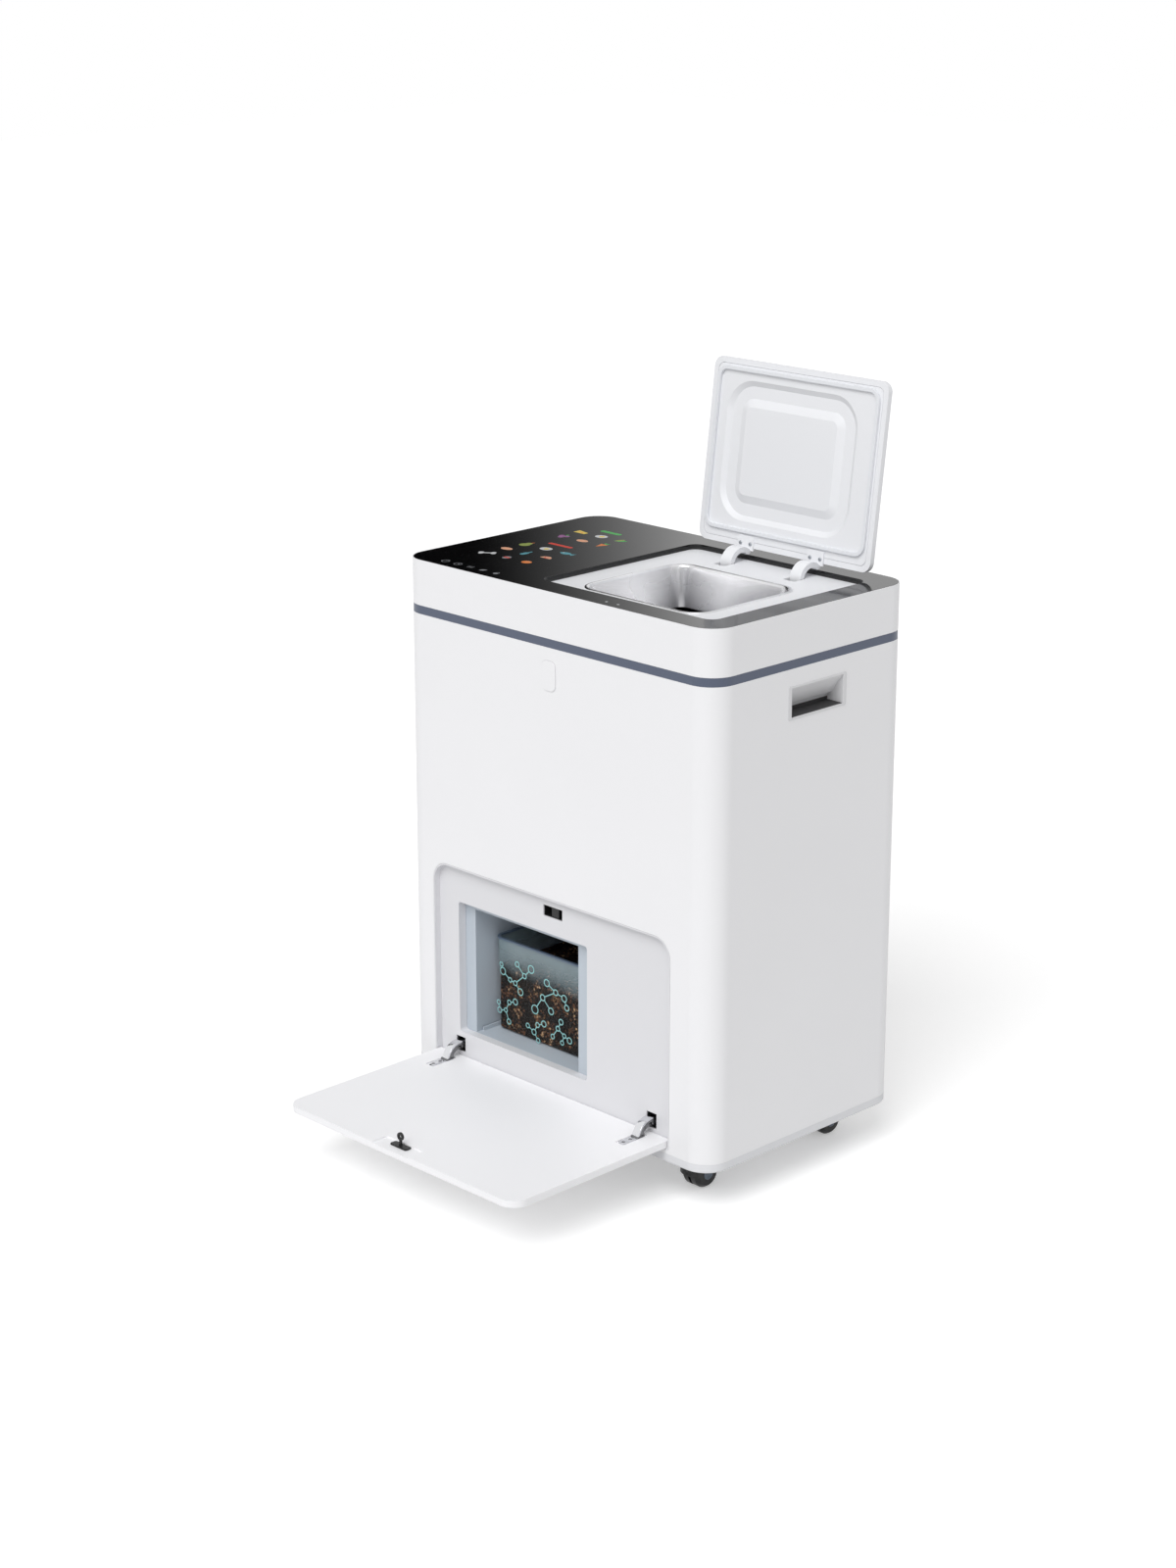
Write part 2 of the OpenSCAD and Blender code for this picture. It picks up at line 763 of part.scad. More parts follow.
module trough_shell() {
    r = trough_r + trough_t;
    color("lightgray") difference() {
        translate([0, 0, axis_z]) face_x(trough_x0, trough_l) difference() {
            union() {
                trough_section(r);
                translate([-r - flange_out, trough_up - trough_t])
                    square([2 * r + 2 * flange_out, trough_t]);
            }
            intersection() {
                translate([-trough_r, -trough_r]) square([2 * trough_r, 3 * trough_r]);
                union() {
                    trough_section(trough_r);
                    translate([-trough_r, trough_up - over]) square([2 * trough_r, 2 * over]);
                }
            }
        }
        translate([chute_x - chute_w / 2, chute_y - chute_d / 2, axis_z - r - over])
            cube([chute_w, chute_d, 40]);
    }
}

module trough_end_plates() {
    half = trough_r + trough_t + 2.5;
    drop = trough_r + trough_t + 4;
    color("lightgray") for (x = [trough_x0 - end_t, trough_x1]) difference() {
        translate([0, 0, axis_z]) face_x(x, end_t)
            translate([-half, -drop]) square([2 * half, drop + trough_up - trough_t]);
        rod_x(x - over, end_t + 2 * over, shaft_r + 3, 0, axis_z);
    }
}

module trough_cover() {
    color("lightgray") difference() {
        level(flange_z, cover_t) translate([(trough_x0 + trough_x1) / 2, 0])
            rrect(trough_l, 2 * (trough_r + trough_t + flange_out), 4);
        level(flange_z - over, cover_t + 2 * over) {
            translate([throat_x, throat_y])
                rrect(throat_w + 2 * sheet_t + 4, throat_d + 2 * sheet_t + 4, 8);
            translate([air_x, 0]) circle(18);
        }
    }
}

module heater_pads() {
    color("darkorange") for (a = [195, 296])
        translate([0, 0, axis_z]) face_x(trough_x0 + 30, trough_l - 60)
            ring_sector(trough_r + trough_t + fit, trough_r + trough_t + fit + 2, a, a + 38);
}

module bearing_housing() {
    // Flanged bearing with its flange at x = 0, its shaft along X
    color("slategray") difference() {
        union() {
            rod_x(0, bearing_l, 22);
            face_x(0, 5) {
                rrect(70, 30, 12);
                circle(24);
            }
        }
        rod_x(-over, bearing_l + 2 * over, shaft_r + run);
        for (s = SIDES) rod_x(-over, 5 + 2 * over, 4, s * 27);
    }
}

module shaft_bearings() {
    translate([trough_x1 + end_t, 0, axis_z]) bearing_housing();
    translate([trough_x0 - end_t, 0, axis_z]) mirror([1, 0, 0]) bearing_housing();
}

module shaft_seals() {
    color("black") for (x = [trough_x0, trough_x1 - seal_t]) difference() {
        rod_x(x, seal_t, 21, 0, axis_z);
        rod_x(x - over, seal_t + 2 * over, shaft_r + run, 0, axis_z);
    }
}

module agitator_shaft() {
    x0 = trough_x0 - end_t - bearing_l - 3;
    x1 = gear_x0 + gear_w + 2;
    color("silver") {
        rod_x(x0 + 1, x1 - x0 - 2, shaft_r, 0, axis_z);
        rod_x(x0, x1 - x0, shaft_r - 1, 0, axis_z);
    }
}

module paddle() {
    // One paddle at x = 0, pointing along Y, the shaft along X
    hub_l = 26;
    color("silver") {
        difference() {
            rod_x(-hub_l / 2, hub_l, shaft_r + 7);
            rod_x(-hub_l / 2 - over, hub_l + 2 * over, shaft_r + 0.1);
        }
        rod_y(shaft_r + 5, paddle_r - shaft_r - 30, 6);
        intersection() {
            translate([0, paddle_r - 16, 0]) rotate([0, 25, 0]) cube([58, 36, 5], center = true);
            rod_x(-40, 80, paddle_r);
        }
    }
}

module paddle_arms() {
    span = trough_l - 2 * seal_t - 66;
    for (i = [0:paddle_count - 1])
        translate([trough_x0 + seal_t + 33 + span * i / (paddle_count - 1), 0, axis_z])
            rotate([90 + i * 360 / paddle_count * 2, 0, 0]) paddle();
}

module drive_gear() {
    web_r = gear_module * gear_teeth / 2 - 12;
    color("dimgray") difference() {
        union() {
            translate([gear_x0, 0, axis_z]) rotate([90, 0, 90]) linear_extrude(gear_w)
                gear_outline(gear_teeth, 270);
            rod_x(gear_x0 - 2, gear_w + 3, shaft_r + 8, 0, axis_z);
        }
        rod_x(gear_x0 - 3, gear_w + 5, shaft_r + 0.1, 0, axis_z);
        for (i = [0:4]) rotate_about_axis(i * 72)
            rod_x(gear_x0 - over, gear_w + 2 * over, 13, 0, (shaft_r + 8 + web_r) / 2);
    }
}

module rotate_about_axis(a) {
    translate([0, 0, axis_z]) rotate([a, 0, 0]) children();
}

module motor_pinion() {
    color("dimgray") {
        translate([gear_x0 - 1, 0, motor_z]) rotate([90, 0, 90]) linear_extrude(gear_w + 2)
            gear_outline(pinion_teeth, 90 + 180 / pinion_teeth);
        rod_x(gear_x0 - 3, bracket_x + 26 - gear_x0, pinion_shaft_r, 0, motor_z);
    }
}

module gearmotor() {
    face = bracket_x + bracket_t;
    head_l = 42;
    head_w = 80;
    can_l = 52;
    can_r = 38;
    fin_pitch = 10;
    color("gray") difference() {
        union() {
            face_x(face, head_l) translate([0, motor_z]) rrect(head_w, head_w, 8);
            rod_x(face + head_l, can_l, can_r, 0, motor_z);
            for (i = [0:3])
                rod_x(face + head_l + 8 + i * fin_pitch, 4, can_r + 1.5, 0, motor_z);
            // Terminal box
            translate([face + head_l + 6, -18, motor_z + 30]) cube([34, 36, 18]);
        }
        rod_x(face - over, 24 + over, pinion_shaft_r + run, 0, motor_z);
    }
}

module motor_bracket() {
    far = trough_x1 + end_t;
    low_z = axis_z - trough_r - 8;
    high_z = axis_z + 53;
    plate_w = 2 * trough_r - 24;
    color("lightgray") {
        difference() {
            face_x(bracket_x, bracket_t) translate([0, (low_z + high_z) / 2])
                rrect(plate_w, high_z - low_z, 8);
            rod_x(bracket_x - over, bracket_t + 2 * over, shaft_r + 4, 0, axis_z);
            rod_x(bracket_x - over, bracket_t + 2 * over, pinion_shaft_r + 4, 0, motor_z);
        }
        for (s = SIDES) {
            rod_x(far, bracket_x - far, standoff_r, s * (plate_w / 2 - 10), high_z - 15);
            rod_x(far, bracket_x - far, standoff_r, s * (plate_w / 2 - 43), low_z + 10);
        }
    }
}

// Outlet

module discharge_chute() {
    w = chute_w + 2 * chute_wall;
    d = chute_d + 2 * chute_wall;
    slot_h = gate_t + 2 * fit;
    color("gainsboro") difference() {
        union() {
            translate([chute_x - w / 2, chute_y - d / 2, liner_top])
                cube([w, d, trough_r]);
            // Rails that carry the gate when it is open
            for (s = SIDES)
                translate([chute_x + s * (w / 2 - 3) - 3, chute_y + d / 2, gate_z - 5])
                    cube([6, gate_travel, 5 + gate_t + rail_roof]);
        }
        rod_x(trough_x0, trough_l, trough_r + trough_t + fit, 0, axis_z);
        translate([chute_x - chute_w / 2, chute_y - chute_d / 2, liner_top - over])
            cube([chute_w, chute_d, 2 * trough_r]);
        // Slot for the gate, open at the back
        translate([chute_x - chute_w / 2 - 1.5, chute_y - chute_d / 2 - 1.5, gate_z - fit])
            cube([chute_w + 3, chute_d + gate_travel + 10, slot_h]);
    }
}

module discharge_gate() {
    rear = chute_y + chute_d / 2 + chute_wall + 6;
    tab_x = chute_x + chute_w / 2 - 7.5;
    color("silver") {
        translate([chute_x - chute_w / 2 - 1.2, chute_y - chute_d / 2 - 1.2, gate_z])
            cube([chute_w + 2.4, chute_d + chute_wall + 7.2, gate_t]);
        // Arm over the rail to the actuator's rod
        translate([tab_x, rear - 5, gate_z]) cube([4, 5, actuator_z + 3 - gate_z]);
        translate([tab_x, rear - 5, actuator_z - 3])
            cube([actuator_x + rod_r + 4 - tab_x, 5, 6]);
        rod_y(rear - gate_travel - 28, gate_travel + 25, rod_r, actuator_x, actuator_z);
    }
}

module gate_actuator() {
    rear = chute_y + chute_d / 2 + chute_wall;
    gland = 30;
    body_l = gate_travel + gland;
    color("dimgray") difference() {
        union() {
            face_y(rear - body_l - 4, body_l) translate([actuator_x, actuator_z])
                rrect(24, 22, 4);
            // Feet on the liner's roof
            for (y = [rear - body_l, rear - 20])
                translate([actuator_x - 12, y, liner_top])
                    cube([24, 8, actuator_z - liner_top]);
        }
        rod_y(rear - body_l + 2, body_l, rod_r + run, actuator_x, actuator_z);
    }
}

// Air path

module filter_canister() {
    len = fan_y * 2;
    color("darkslategray") {
        rod_y(-fan_y, len, canister_r, air_x, air_z);
        rod_y(-fan_y - 4, 4, canister_r - 6, air_x, air_z);
        for (y = [-fan_y + 6, fan_y - 12]) rod_y(y, 6, canister_r + 1.5, air_x, air_z);
        translate([air_x, 0, flange_z + cover_t]) cylinder(h = air_z - flange_z - 20, r = 22);
    }
}

module fan_housing() {
    duct_l = back_y - cap_wall - fit - 2.5 - fit - fan_y - fan_t;
    color("dimgray") {
        difference() {
            union() {
                face_y(fan_y, fan_t) translate([air_x, air_z]) rrect(fan_w, fan_w, 5);
                rod_y(fan_y + fan_t - over, duct_l + over, fan_bore + 2, air_x, air_z);
            }
            rod_y(fan_y + 3, duct_l + fan_t, fan_bore, air_x, air_z);
            rod_y(fan_y - over, 5, fan_bore - 3, air_x, air_z);
        }
        // Spider that holds the rotor's bearing
        difference() {
            union() {
                rod_y(fan_y, 4, 12, air_x, air_z);
                for (a = [45, 135]) translate([air_x, fan_y + 2, air_z]) rotate([0, a, 0])
                    cube([2 * fan_bore - 2, 4, 4], center = true);
            }
            rod_y(fan_y - over, 6, 3 + run, air_x, air_z);
        }
    }
}

module fan_rotor() {
    blades = 7;
    color("black") translate([air_x, 0, air_z]) {
        rod_y(fan_y + 5, 15, 12);
        rod_y(fan_y + 1, 5, 3);
        intersection() {
            for (i = [0:blades - 1]) rotate([0, i * 360 / blades, 0])
                translate([21, fan_y + 13, 0]) rotate([38, 0, 0]) cube([22, 2, 18], center = true);
            rod_y(fan_y + 5, 16, fan_bore - 2);
        }
    }
}

// Electrical pieces

module control_board() {
    y = back_y - body_wall - fit - 2 - 12 - 1.6;
    left = board_x - board_w / 2;
    low = board_z - board_h / 2;
    color("darkgreen") translate([left, y, low]) cube([board_w, 1.6, board_h]);
    color("black") {
        for (i = [0:3]) translate([left + 18 + i * 22, y - 16, low + 12]) cube([16, 16, 24]);
        translate([left + 14, y - 24, low + 62]) cube([42, 24, 36]);
        for (i = [0:2]) rod_y(y - 22, 22, 7, left + 74 + i * 20, low + 82);
        translate([left + 100, y - 10, low + 14]) cube([30, 10, 30]);
    }
}

module touch_board() {
    key = [6, 6, 3.5];
    left = 38 - body_w / 2;
    right = open_x - open_w / 2 - 43;
    first = 20;
    key_pitch = (right - left - 2 * first) / 4;
    y0 = front_y + 19;
    depth = 130;
    thick = 1.6;
    under = glass_z0 - carrier_t - thick;
    color("darkgreen") level(under, thick)
        translate([(left + right) / 2, y0 + depth / 2]) rrect(right - left, depth, 3);
    color("black") for (i = [0:4])
        translate([left + first + i * key_pitch, y0 + 7, under - key[2] + 0.1]) cube(key);
}

module power_inlet() {
    depth = 26;
    y1 = back_y + 1.8;
    socket_z = inlet_z - 12;
    switch_z = inlet_z + 14;
    color("black") difference() {
        union() {
            face_y(back_y, 1.8) translate([inlet_x, inlet_z]) rrect(38, 62, 4);
            face_y(back_y - depth, depth) translate([inlet_x, inlet_z]) rrect(30, 54, 2);
        }
        face_y(y1 - 18, 18 + over) translate([inlet_x, socket_z])
            square(socket, center = true);
        face_y(y1 - 12, 12 + over) translate([inlet_x, switch_z]) square([20, 13], center = true);
        rod_x(inlet_x - 13, 26, 1.5 + run, back_y - 3, switch_z);
    }
    // Contact pins of the socket
    color("silver") for (p = [[-7, -2], [0, 3], [7, -2]])
        translate([inlet_x + p[0] - 1, y1 - 18, socket_z + p[1] - 2]) cube([2, 12.5, 4]);
}

module rocker_switch() {
    switch_z = inlet_z + 14;
    tilt = 8;
    color("black") translate([inlet_x, back_y - 3, switch_z]) rotate([tilt, 0, 0]) {
        rod_x(-12, 24, 1.5);
        translate([-9.5, 0, 0]) rotate([90, 0, 90]) linear_extrude(19)
            polygon([[-3, -2], [-3, 2], [3.6, 5.2], [2.6, 0], [3.6, -5.2]]);
    }
}

// Lid

module lid_place() {
    // Turns what is drawn closed to the open place
    translate([0, lid_pivot_y, lid_pivot_z]) rotate([-lid_open, 0, 0])
        translate([0, -lid_pivot_y, -lid_pivot_z]) children();
}

module lid_shell() {
    skin = 2;
    soft = 2.5;
    w = lid_w - 2 * lid_border + 2 * fit;
    l = lid_l - 2 * lid_border + 2 * fit;
    color("white") lid_place() translate([open_x, lid_y, lid_z]) {
        difference() {
            union() {
                level(0, lid_t - soft) rrect(lid_w, lid_l, lid_r);
                level(lid_t - soft, soft) rrect(lid_w - 2 * soft, lid_l - 2 * soft, lid_r - soft);
                translate([0, 0, lid_t - soft])
                    sweep_round(lid_w - 2 * soft, lid_l - 2 * soft, lid_r - soft)
                        intersection() {
                            circle(soft, $fn = 32);
                            square(soft);
                        }
            }
            level(-over, lid_t - skin + over) rrect(w, l, lid_r - 4);
        }
    }
}

module lid_inner() {
    w = lid_w - 2 * lid_border;
    l = lid_l - 2 * lid_border;
    h = lid_t - 2 - fit;
    groove_w = 34;
    groove_d = 4.5;
    ring_w = lid_w - 107;
    ring_l = lid_l - 93;
    color("white") lid_place() translate([open_x, lid_y, lid_z]) difference() {
        level(0, h) rrect(w, l, lid_r - 4);
        // Moulded ring with sloped sides
        translate([-7, -3.5, 0]) sweep_round(ring_w, ring_l, 26)
            polygon([
                [-groove_w / 2, -over], [-groove_w / 2, 0], [-groove_w / 2 + 11, groove_d],
                [groove_w / 2 - 7, groove_d], [groove_w / 2, 0], [groove_w / 2, -over]
            ]);
    }
}

module lid_gasket() {
    // Soft lip near the lid's edge, drawn in at the back to clear the hinge arms' plates
    edge = 13;
    back = 21;
    lip_w = 5;
    color("gainsboro") lid_place() translate([open_x, lid_y - (back - edge) / 2, lid_z])
        sweep_round(lid_w - 2 * edge, lid_l - edge - back, lid_r)
            translate([-lip_w / 2, fit - lid_lift]) square([lip_w, lid_lift - fit]);
}

module neck_section() {
    // In Y and Z about the pivot, the lid closed
    face = lid_z - lid_pivot_z; // height of the lid's inner face
    start = 142;
    end = 327;
    ring_out = neck_r + neck_t / 2;
    ring_in = neck_r - neck_t / 2;
    translate(neck_at) ring_sector(ring_in, ring_out, start, end);
    circle(6);
    polygon([
        [-4, -4.5], neck_at + ring_in * [cos(end - 6), sin(end - 6)],
        neck_at + ring_out * [cos(end - 6), sin(end - 6)],
        neck_at + ring_out * [cos(end), sin(end)], [6, 0], [0, 6]
    ]);
    polygon([
        neck_at + ring_out * [cos(start + 6), sin(start + 6)],
        neck_at + ring_in * [cos(start), sin(start)], [-22, face], [-42, face],
        [-42, face - 2], [-29, face - 2]
    ]);
}

module lid_arms() {
    face = lid_z - lid_pivot_z;
    plate_w = 28;
    color("white") lid_place() at_hinges() translate([0, lid_pivot_y, lid_pivot_z]) {
        face_x(-neck_w / 2, neck_w) neck_section();
        face_x(-plate_w / 2, plate_w) translate([-44.4, face - 2]) square([19, 2]);
        rod_x(-neck_w / 2 - 4, neck_w + 8, lid_pin_r);
    }
}

module lid_hinge_brackets() {
    ear_t = 3;
    web_y = 10.4;
    height = deck_z - deck_t - lid_pivot_z;
    color("gainsboro") at_hinges() translate([0, lid_pivot_y, lid_pivot_z]) {
        for (s = SIDES) difference() {
            translate([s * (neck_w / 2 + 0.4 + ear_t / 2) - ear_t / 2, -8, -7])
                cube([ear_t, web_y + 9.6, height + 7]);
            rod_x(-neck_w, 2 * neck_w, lid_pin_r + run);
        }
        translate([-neck_w / 2 - 1, web_y, -7]) cube([neck_w + 2, 1.6, height + 7]);
    }
}

// Front door

module door_outline() {
    w = bay_w - 2 * door_gap;
    r = bay_r - door_gap;
    translate([bay_x, 0]) {
        translate([-w / 2, -door_l + r]) square([w, door_l - r]);
        translate([-w / 2 + r, -door_l]) square([w - 2 * r, r + 1]);
        for (s = SIDES) translate([s * (w / 2 - r), -door_l + r]) circle(r);
    }
}

module door_panel() {
    w = bay_w - 2 * door_gap;
    color("white") translate([0, pivot_y, pivot_z]) difference() {
        union() {
            level(-door_t / 2, door_t) door_outline();
            rod_x(bay_x - w / 2, w, door_t / 2);
        }
        // Shallow recess round the striker, open at the free edge
        translate([striker_x, -door_l, 0]) level(door_t / 2 - grip_t, 2 * grip_t)
            rrect(grip_w, 2 * grip_d, 4);
        // Pockets for the hinge arms' plates
        at_door_arms() translate([0, -31.5, 0]) level(door_t / 2 - 2, 4) rrect(15, 43, 2);
        rod_x(bay_x - w / 2 - over, 14 + over, door_pin_r + 0.05);
        rod_x(bay_x + w / 2 - 14, 14 + over, door_pin_r + 0.05);
    }
}

module door_hinge_pins() {
    w = bay_w - 2 * door_gap;
    l = 12 + door_gap + boss_l;
    color("silver") for (s = SIDES)
        rod_x(bay_x + (s > 0 ? w / 2 - 12 : -w / 2 - l + 12), l, door_pin_r, pivot_y, pivot_z);
}

module door_arms() {
    // Quarter rings about the hinge, on plates let into the door
    color("silver") at_door_arms() translate([0, pivot_y, pivot_z]) {
        difference() {
            face_x(-door_arm_w / 2, door_arm_w) intersection() {
                ring_sector(13, 25.5, 60, 176);
                translate([-40, door_t / 2 - 1]) square([60, 40]);
            }
            // Waist that leaves two cheeks
            face_x(-door_arm_w / 2 + 2.5, door_arm_w - 5) ring_sector(11, 22, 96, 180);
        }
        translate([0, -31.5, 0]) level(door_t / 2 - 2 + 0.05, 1.9)
            rrect(14.4, 42.4, 2);
        translate([0, -20, 0]) level(door_t / 2 - 0.5, 2) rrect(14.4, 13, 2);
    }
}

module door_striker() {
    eye_z = 12;
    eye_t = 3;
    color("black") translate([striker_x, pivot_y - striker_l, pivot_z + door_t / 2]) {
        level(-grip_t, grip_t) rrect(31, 11, 3);
        translate([-1.7, -eye_t / 2, -over]) cube([3.4, eye_t, eye_z - eye_r + 2 * over]);
        translate([0, 0, eye_z]) difference() {
            rod_y(-eye_t / 2, eye_t, eye_r);
            rod_y(-eye_t, 2 * eye_t, eye_r - 3.2);
        }
    }
}

// Compost bin

module bin_tub() {
    color("lightcyan") translate([bin_x, bin_y0 + bin_d / 2, 0]) {
        difference() {
            level(bin_z0, bin_h) rrect(bin_w, bin_d, bin_r);
            level(bin_z0 + bin_wall, bin_h)
                rrect(bin_w - 2 * bin_wall, bin_d - 2 * bin_wall, bin_r - bin_wall);
        }
    }
}

module bin_rim() {
    lip = 1;
    color("lightsteelblue") translate([bin_x, bin_y0 + bin_d / 2, 0])
        level(bin_z0 + bin_h, rim_h)
            rring(bin_w + 2 * lip, bin_d + 2 * lip, bin_r + lip, bin_wall + 2 * lip);
}

module compost_fill() {
    gap = bin_wall + fit;
    h = bin_h * bin_fill;
    color("saddlebrown") translate([bin_x, bin_y0 + bin_d / 2, 0])
        level(bin_z0 + gap, h) rrect(bin_w - 2 * gap, bin_d - 2 * gap, bin_r - gap);
}

// Casters

module caster_plates() {
    color("dimgray") at_casters() difference() {
        union() {
            level(base_z - plate_t, plate_t) rrect(38, 38, 5);
            level(base_z - plate_t - 7, 8) circle(stem_r + 4);
        }
        level(base_z - plate_t - 8, 9.5) circle(stem_r + run);
    }
}

// Turned about the wheels' axle, from a half profile: x is the radius and y runs along the axle
module about_axle(angle = 360) {
    rotate([90, 0, 90]) rotate_extrude(angle = angle) intersection() {
        children();
        translate([0, -2 * hood_r]) square([2 * hood_r, 4 * hood_r]);
    }
}

module caster_hood(corner) {
    web = 2.8;
    hood_w = 33;
    neck_z = wheel_r + sqrt(hood_r * hood_r - trail * trail) - 2.5;
    stem_l = base_z - plate_t - neck_z;
    color("black") translate([corner[0] * caster_x, corner[1] * caster_y, 0]) difference() {
        union() {
            translate([0, trail, wheel_r]) about_axle(180) intersection() {
                circle(hood_r);
                translate([0, -hood_w / 2]) square([hood_r, hood_w]);
            }
            level(neck_z, stem_l) circle(stem_r);
            level(neck_z, 3.5) circle(stem_r + 3);
        }
        translate([0, trail, wheel_r]) {
            for (s = SIDES) about_axle() intersection() {
                circle(wheel_r + 3);
                translate([0, s > 0 ? web / 2 : -hood_r - web / 2]) square(hood_r);
            }
            rod_x(-web, 2 * web, 2.5 + run);
        }
    }
}

module caster_wheels(corner) {
    color("black")
        translate([corner[0] * caster_x, corner[1] * caster_y + trail, wheel_r]) about_axle() {
            intersection() {
                circle(wheel_r + 2.2);
                for (s = SIDES) translate([0, s * 8.75 - 6.75]) square([wheel_r, 13.5]);
            }
            translate([0, -3]) square([2.5, 6]);
        }
}

body_shell();
base_tray();
rear_cover();
stripe_band();
top_cap();
glass_panel();
panel_carrier();
hopper_deck();
hopper_funnel();
front_badge();
door_bay_panel();
bin_bay_liner();
catch_housing();
handle_left();
handle_right();
inner_frame();
trough_shell();
trough_end_plates();
trough_cover();
heater_pads();
shaft_bearings();
shaft_seals();
gearmotor();
motor_bracket();
discharge_chute();
gate_actuator();
filter_canister();
fan_housing();
control_board();
touch_board();
power_inlet();
lid_hinge_brackets();
caster_plates();
lid_shell();
lid_inner();
lid_gasket();
lid_arms();
door_panel();
door_arms();
door_hinge_pins();
door_striker();
bin_tub();
bin_rim();
compost_fill();
agitator_shaft();
paddle_arms();
drive_gear();
motor_pinion();
discharge_gate();
fan_rotor();
catch_hook();
rocker_switch();
caster_hood(FRONT_LEFT);  // caster_hood_front_left
caster_hood(FRONT_RIGHT);  // caster_hood_front_right
caster_hood(REAR_LEFT);  // caster_hood_rear_left
caster_hood(REAR_RIGHT);  // caster_hood_rear_right
caster_wheels(FRONT_LEFT);  // caster_wheels_front_left
caster_wheels(FRONT_RIGHT);  // caster_wheels_front_right
caster_wheels(REAR_LEFT);  // caster_wheels_rear_left
caster_wheels(REAR_RIGHT);  // caster_wheels_rear_right
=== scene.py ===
"""Finishes and small pieces of an electric food waste composter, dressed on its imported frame.

Places and sizes of pieces are in millimetres, which MM turns into Blender's metres. The camera,
the studio and the shader values are in metres. +Z is up, the front faces -Y, the floor is at
z = 0, and the lid and the door stand open at rest.
"""

import json
import math
import random

import bmesh
import bpy
from mathutils import Matrix, Vector


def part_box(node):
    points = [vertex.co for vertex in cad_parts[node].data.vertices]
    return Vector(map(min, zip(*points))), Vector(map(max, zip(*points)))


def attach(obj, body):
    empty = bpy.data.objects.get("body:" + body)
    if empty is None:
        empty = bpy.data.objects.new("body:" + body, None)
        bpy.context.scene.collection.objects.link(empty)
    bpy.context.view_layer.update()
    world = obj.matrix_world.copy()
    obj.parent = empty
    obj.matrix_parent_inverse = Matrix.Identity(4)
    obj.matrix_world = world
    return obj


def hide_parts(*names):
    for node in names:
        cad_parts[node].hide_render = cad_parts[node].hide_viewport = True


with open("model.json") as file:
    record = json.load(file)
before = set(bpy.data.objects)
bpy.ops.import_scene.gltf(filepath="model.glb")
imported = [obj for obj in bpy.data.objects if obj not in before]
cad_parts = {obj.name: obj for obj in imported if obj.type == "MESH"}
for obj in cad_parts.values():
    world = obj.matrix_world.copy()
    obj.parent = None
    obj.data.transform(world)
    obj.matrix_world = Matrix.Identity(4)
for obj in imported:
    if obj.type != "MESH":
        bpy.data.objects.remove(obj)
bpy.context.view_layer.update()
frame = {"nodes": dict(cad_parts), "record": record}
nodes = frame["nodes"]

MM = 0.001
FULL_TURN = 2 * math.pi
HALF_TURN = math.pi
QUARTER_TURN = math.pi / 2

# Places read from the frame


def span(node, axis):
    """Lowest and highest place of a CAD node along an axis."""
    return [round(getattr(corner, axis) / MM, 2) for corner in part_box(node)]


def middle(node, axis):
    low, high = span(node, axis)
    return round((low + high) / 2, 2)


def length(node, axis):
    low, high = span(node, axis)
    return round(high - low, 2)


def inset(node, axis, margin):
    """The places that lie a margin inside both ends of a CAD node."""
    low, high = span(node, axis)
    return round(low + margin, 2), round(high - margin, 2)


JOINTS = {joint["name"]: joint for joint in frame["record"]["behaviour"]["joints"]}
LID_AXIS, DOOR_AXIS = ([round(place / MM, 2) for place in JOINTS[hinge]["pos_m"][1:]]
                       for hinge in ("lid_hinge", "door_hinge"))
LID_SWING = JOINTS["lid_hinge"]["range_deg"][1]
GLASS_TOP = span("glass_panel", "z")[1]
BIN_FRONT = span("bin_tub", "y")[0]

# Middles of the twin lid arms, door arms and caster plates, half a width inside their nodes
LID_ARMS_X = inset("lid_arms", "x", 14.0)
DOOR_ARMS_X = inset("door_arms", "x", 7.2)
CASTERS_X, CASTERS_Y = (inset("caster_plates", axis, 19.0) for axis in "xy")

# The funnel's rows: middle and length in X, then in Y
RIM_REACH = 6.0
FUNNEL_LOW, FUNNEL_HIGH = span("trough_cover", "z")[0], span("hopper_deck", "z")[1]
FUNNEL_FOOT = ((63.8, 90.0), (-10.0, 100.0))
FUNNEL_MOUTH = tuple((middle("hopper_funnel", axis), length("hopper_funnel", axis) - 2 * RIM_REACH)
                     for axis in "xy")

# Node trees and shared shader groups


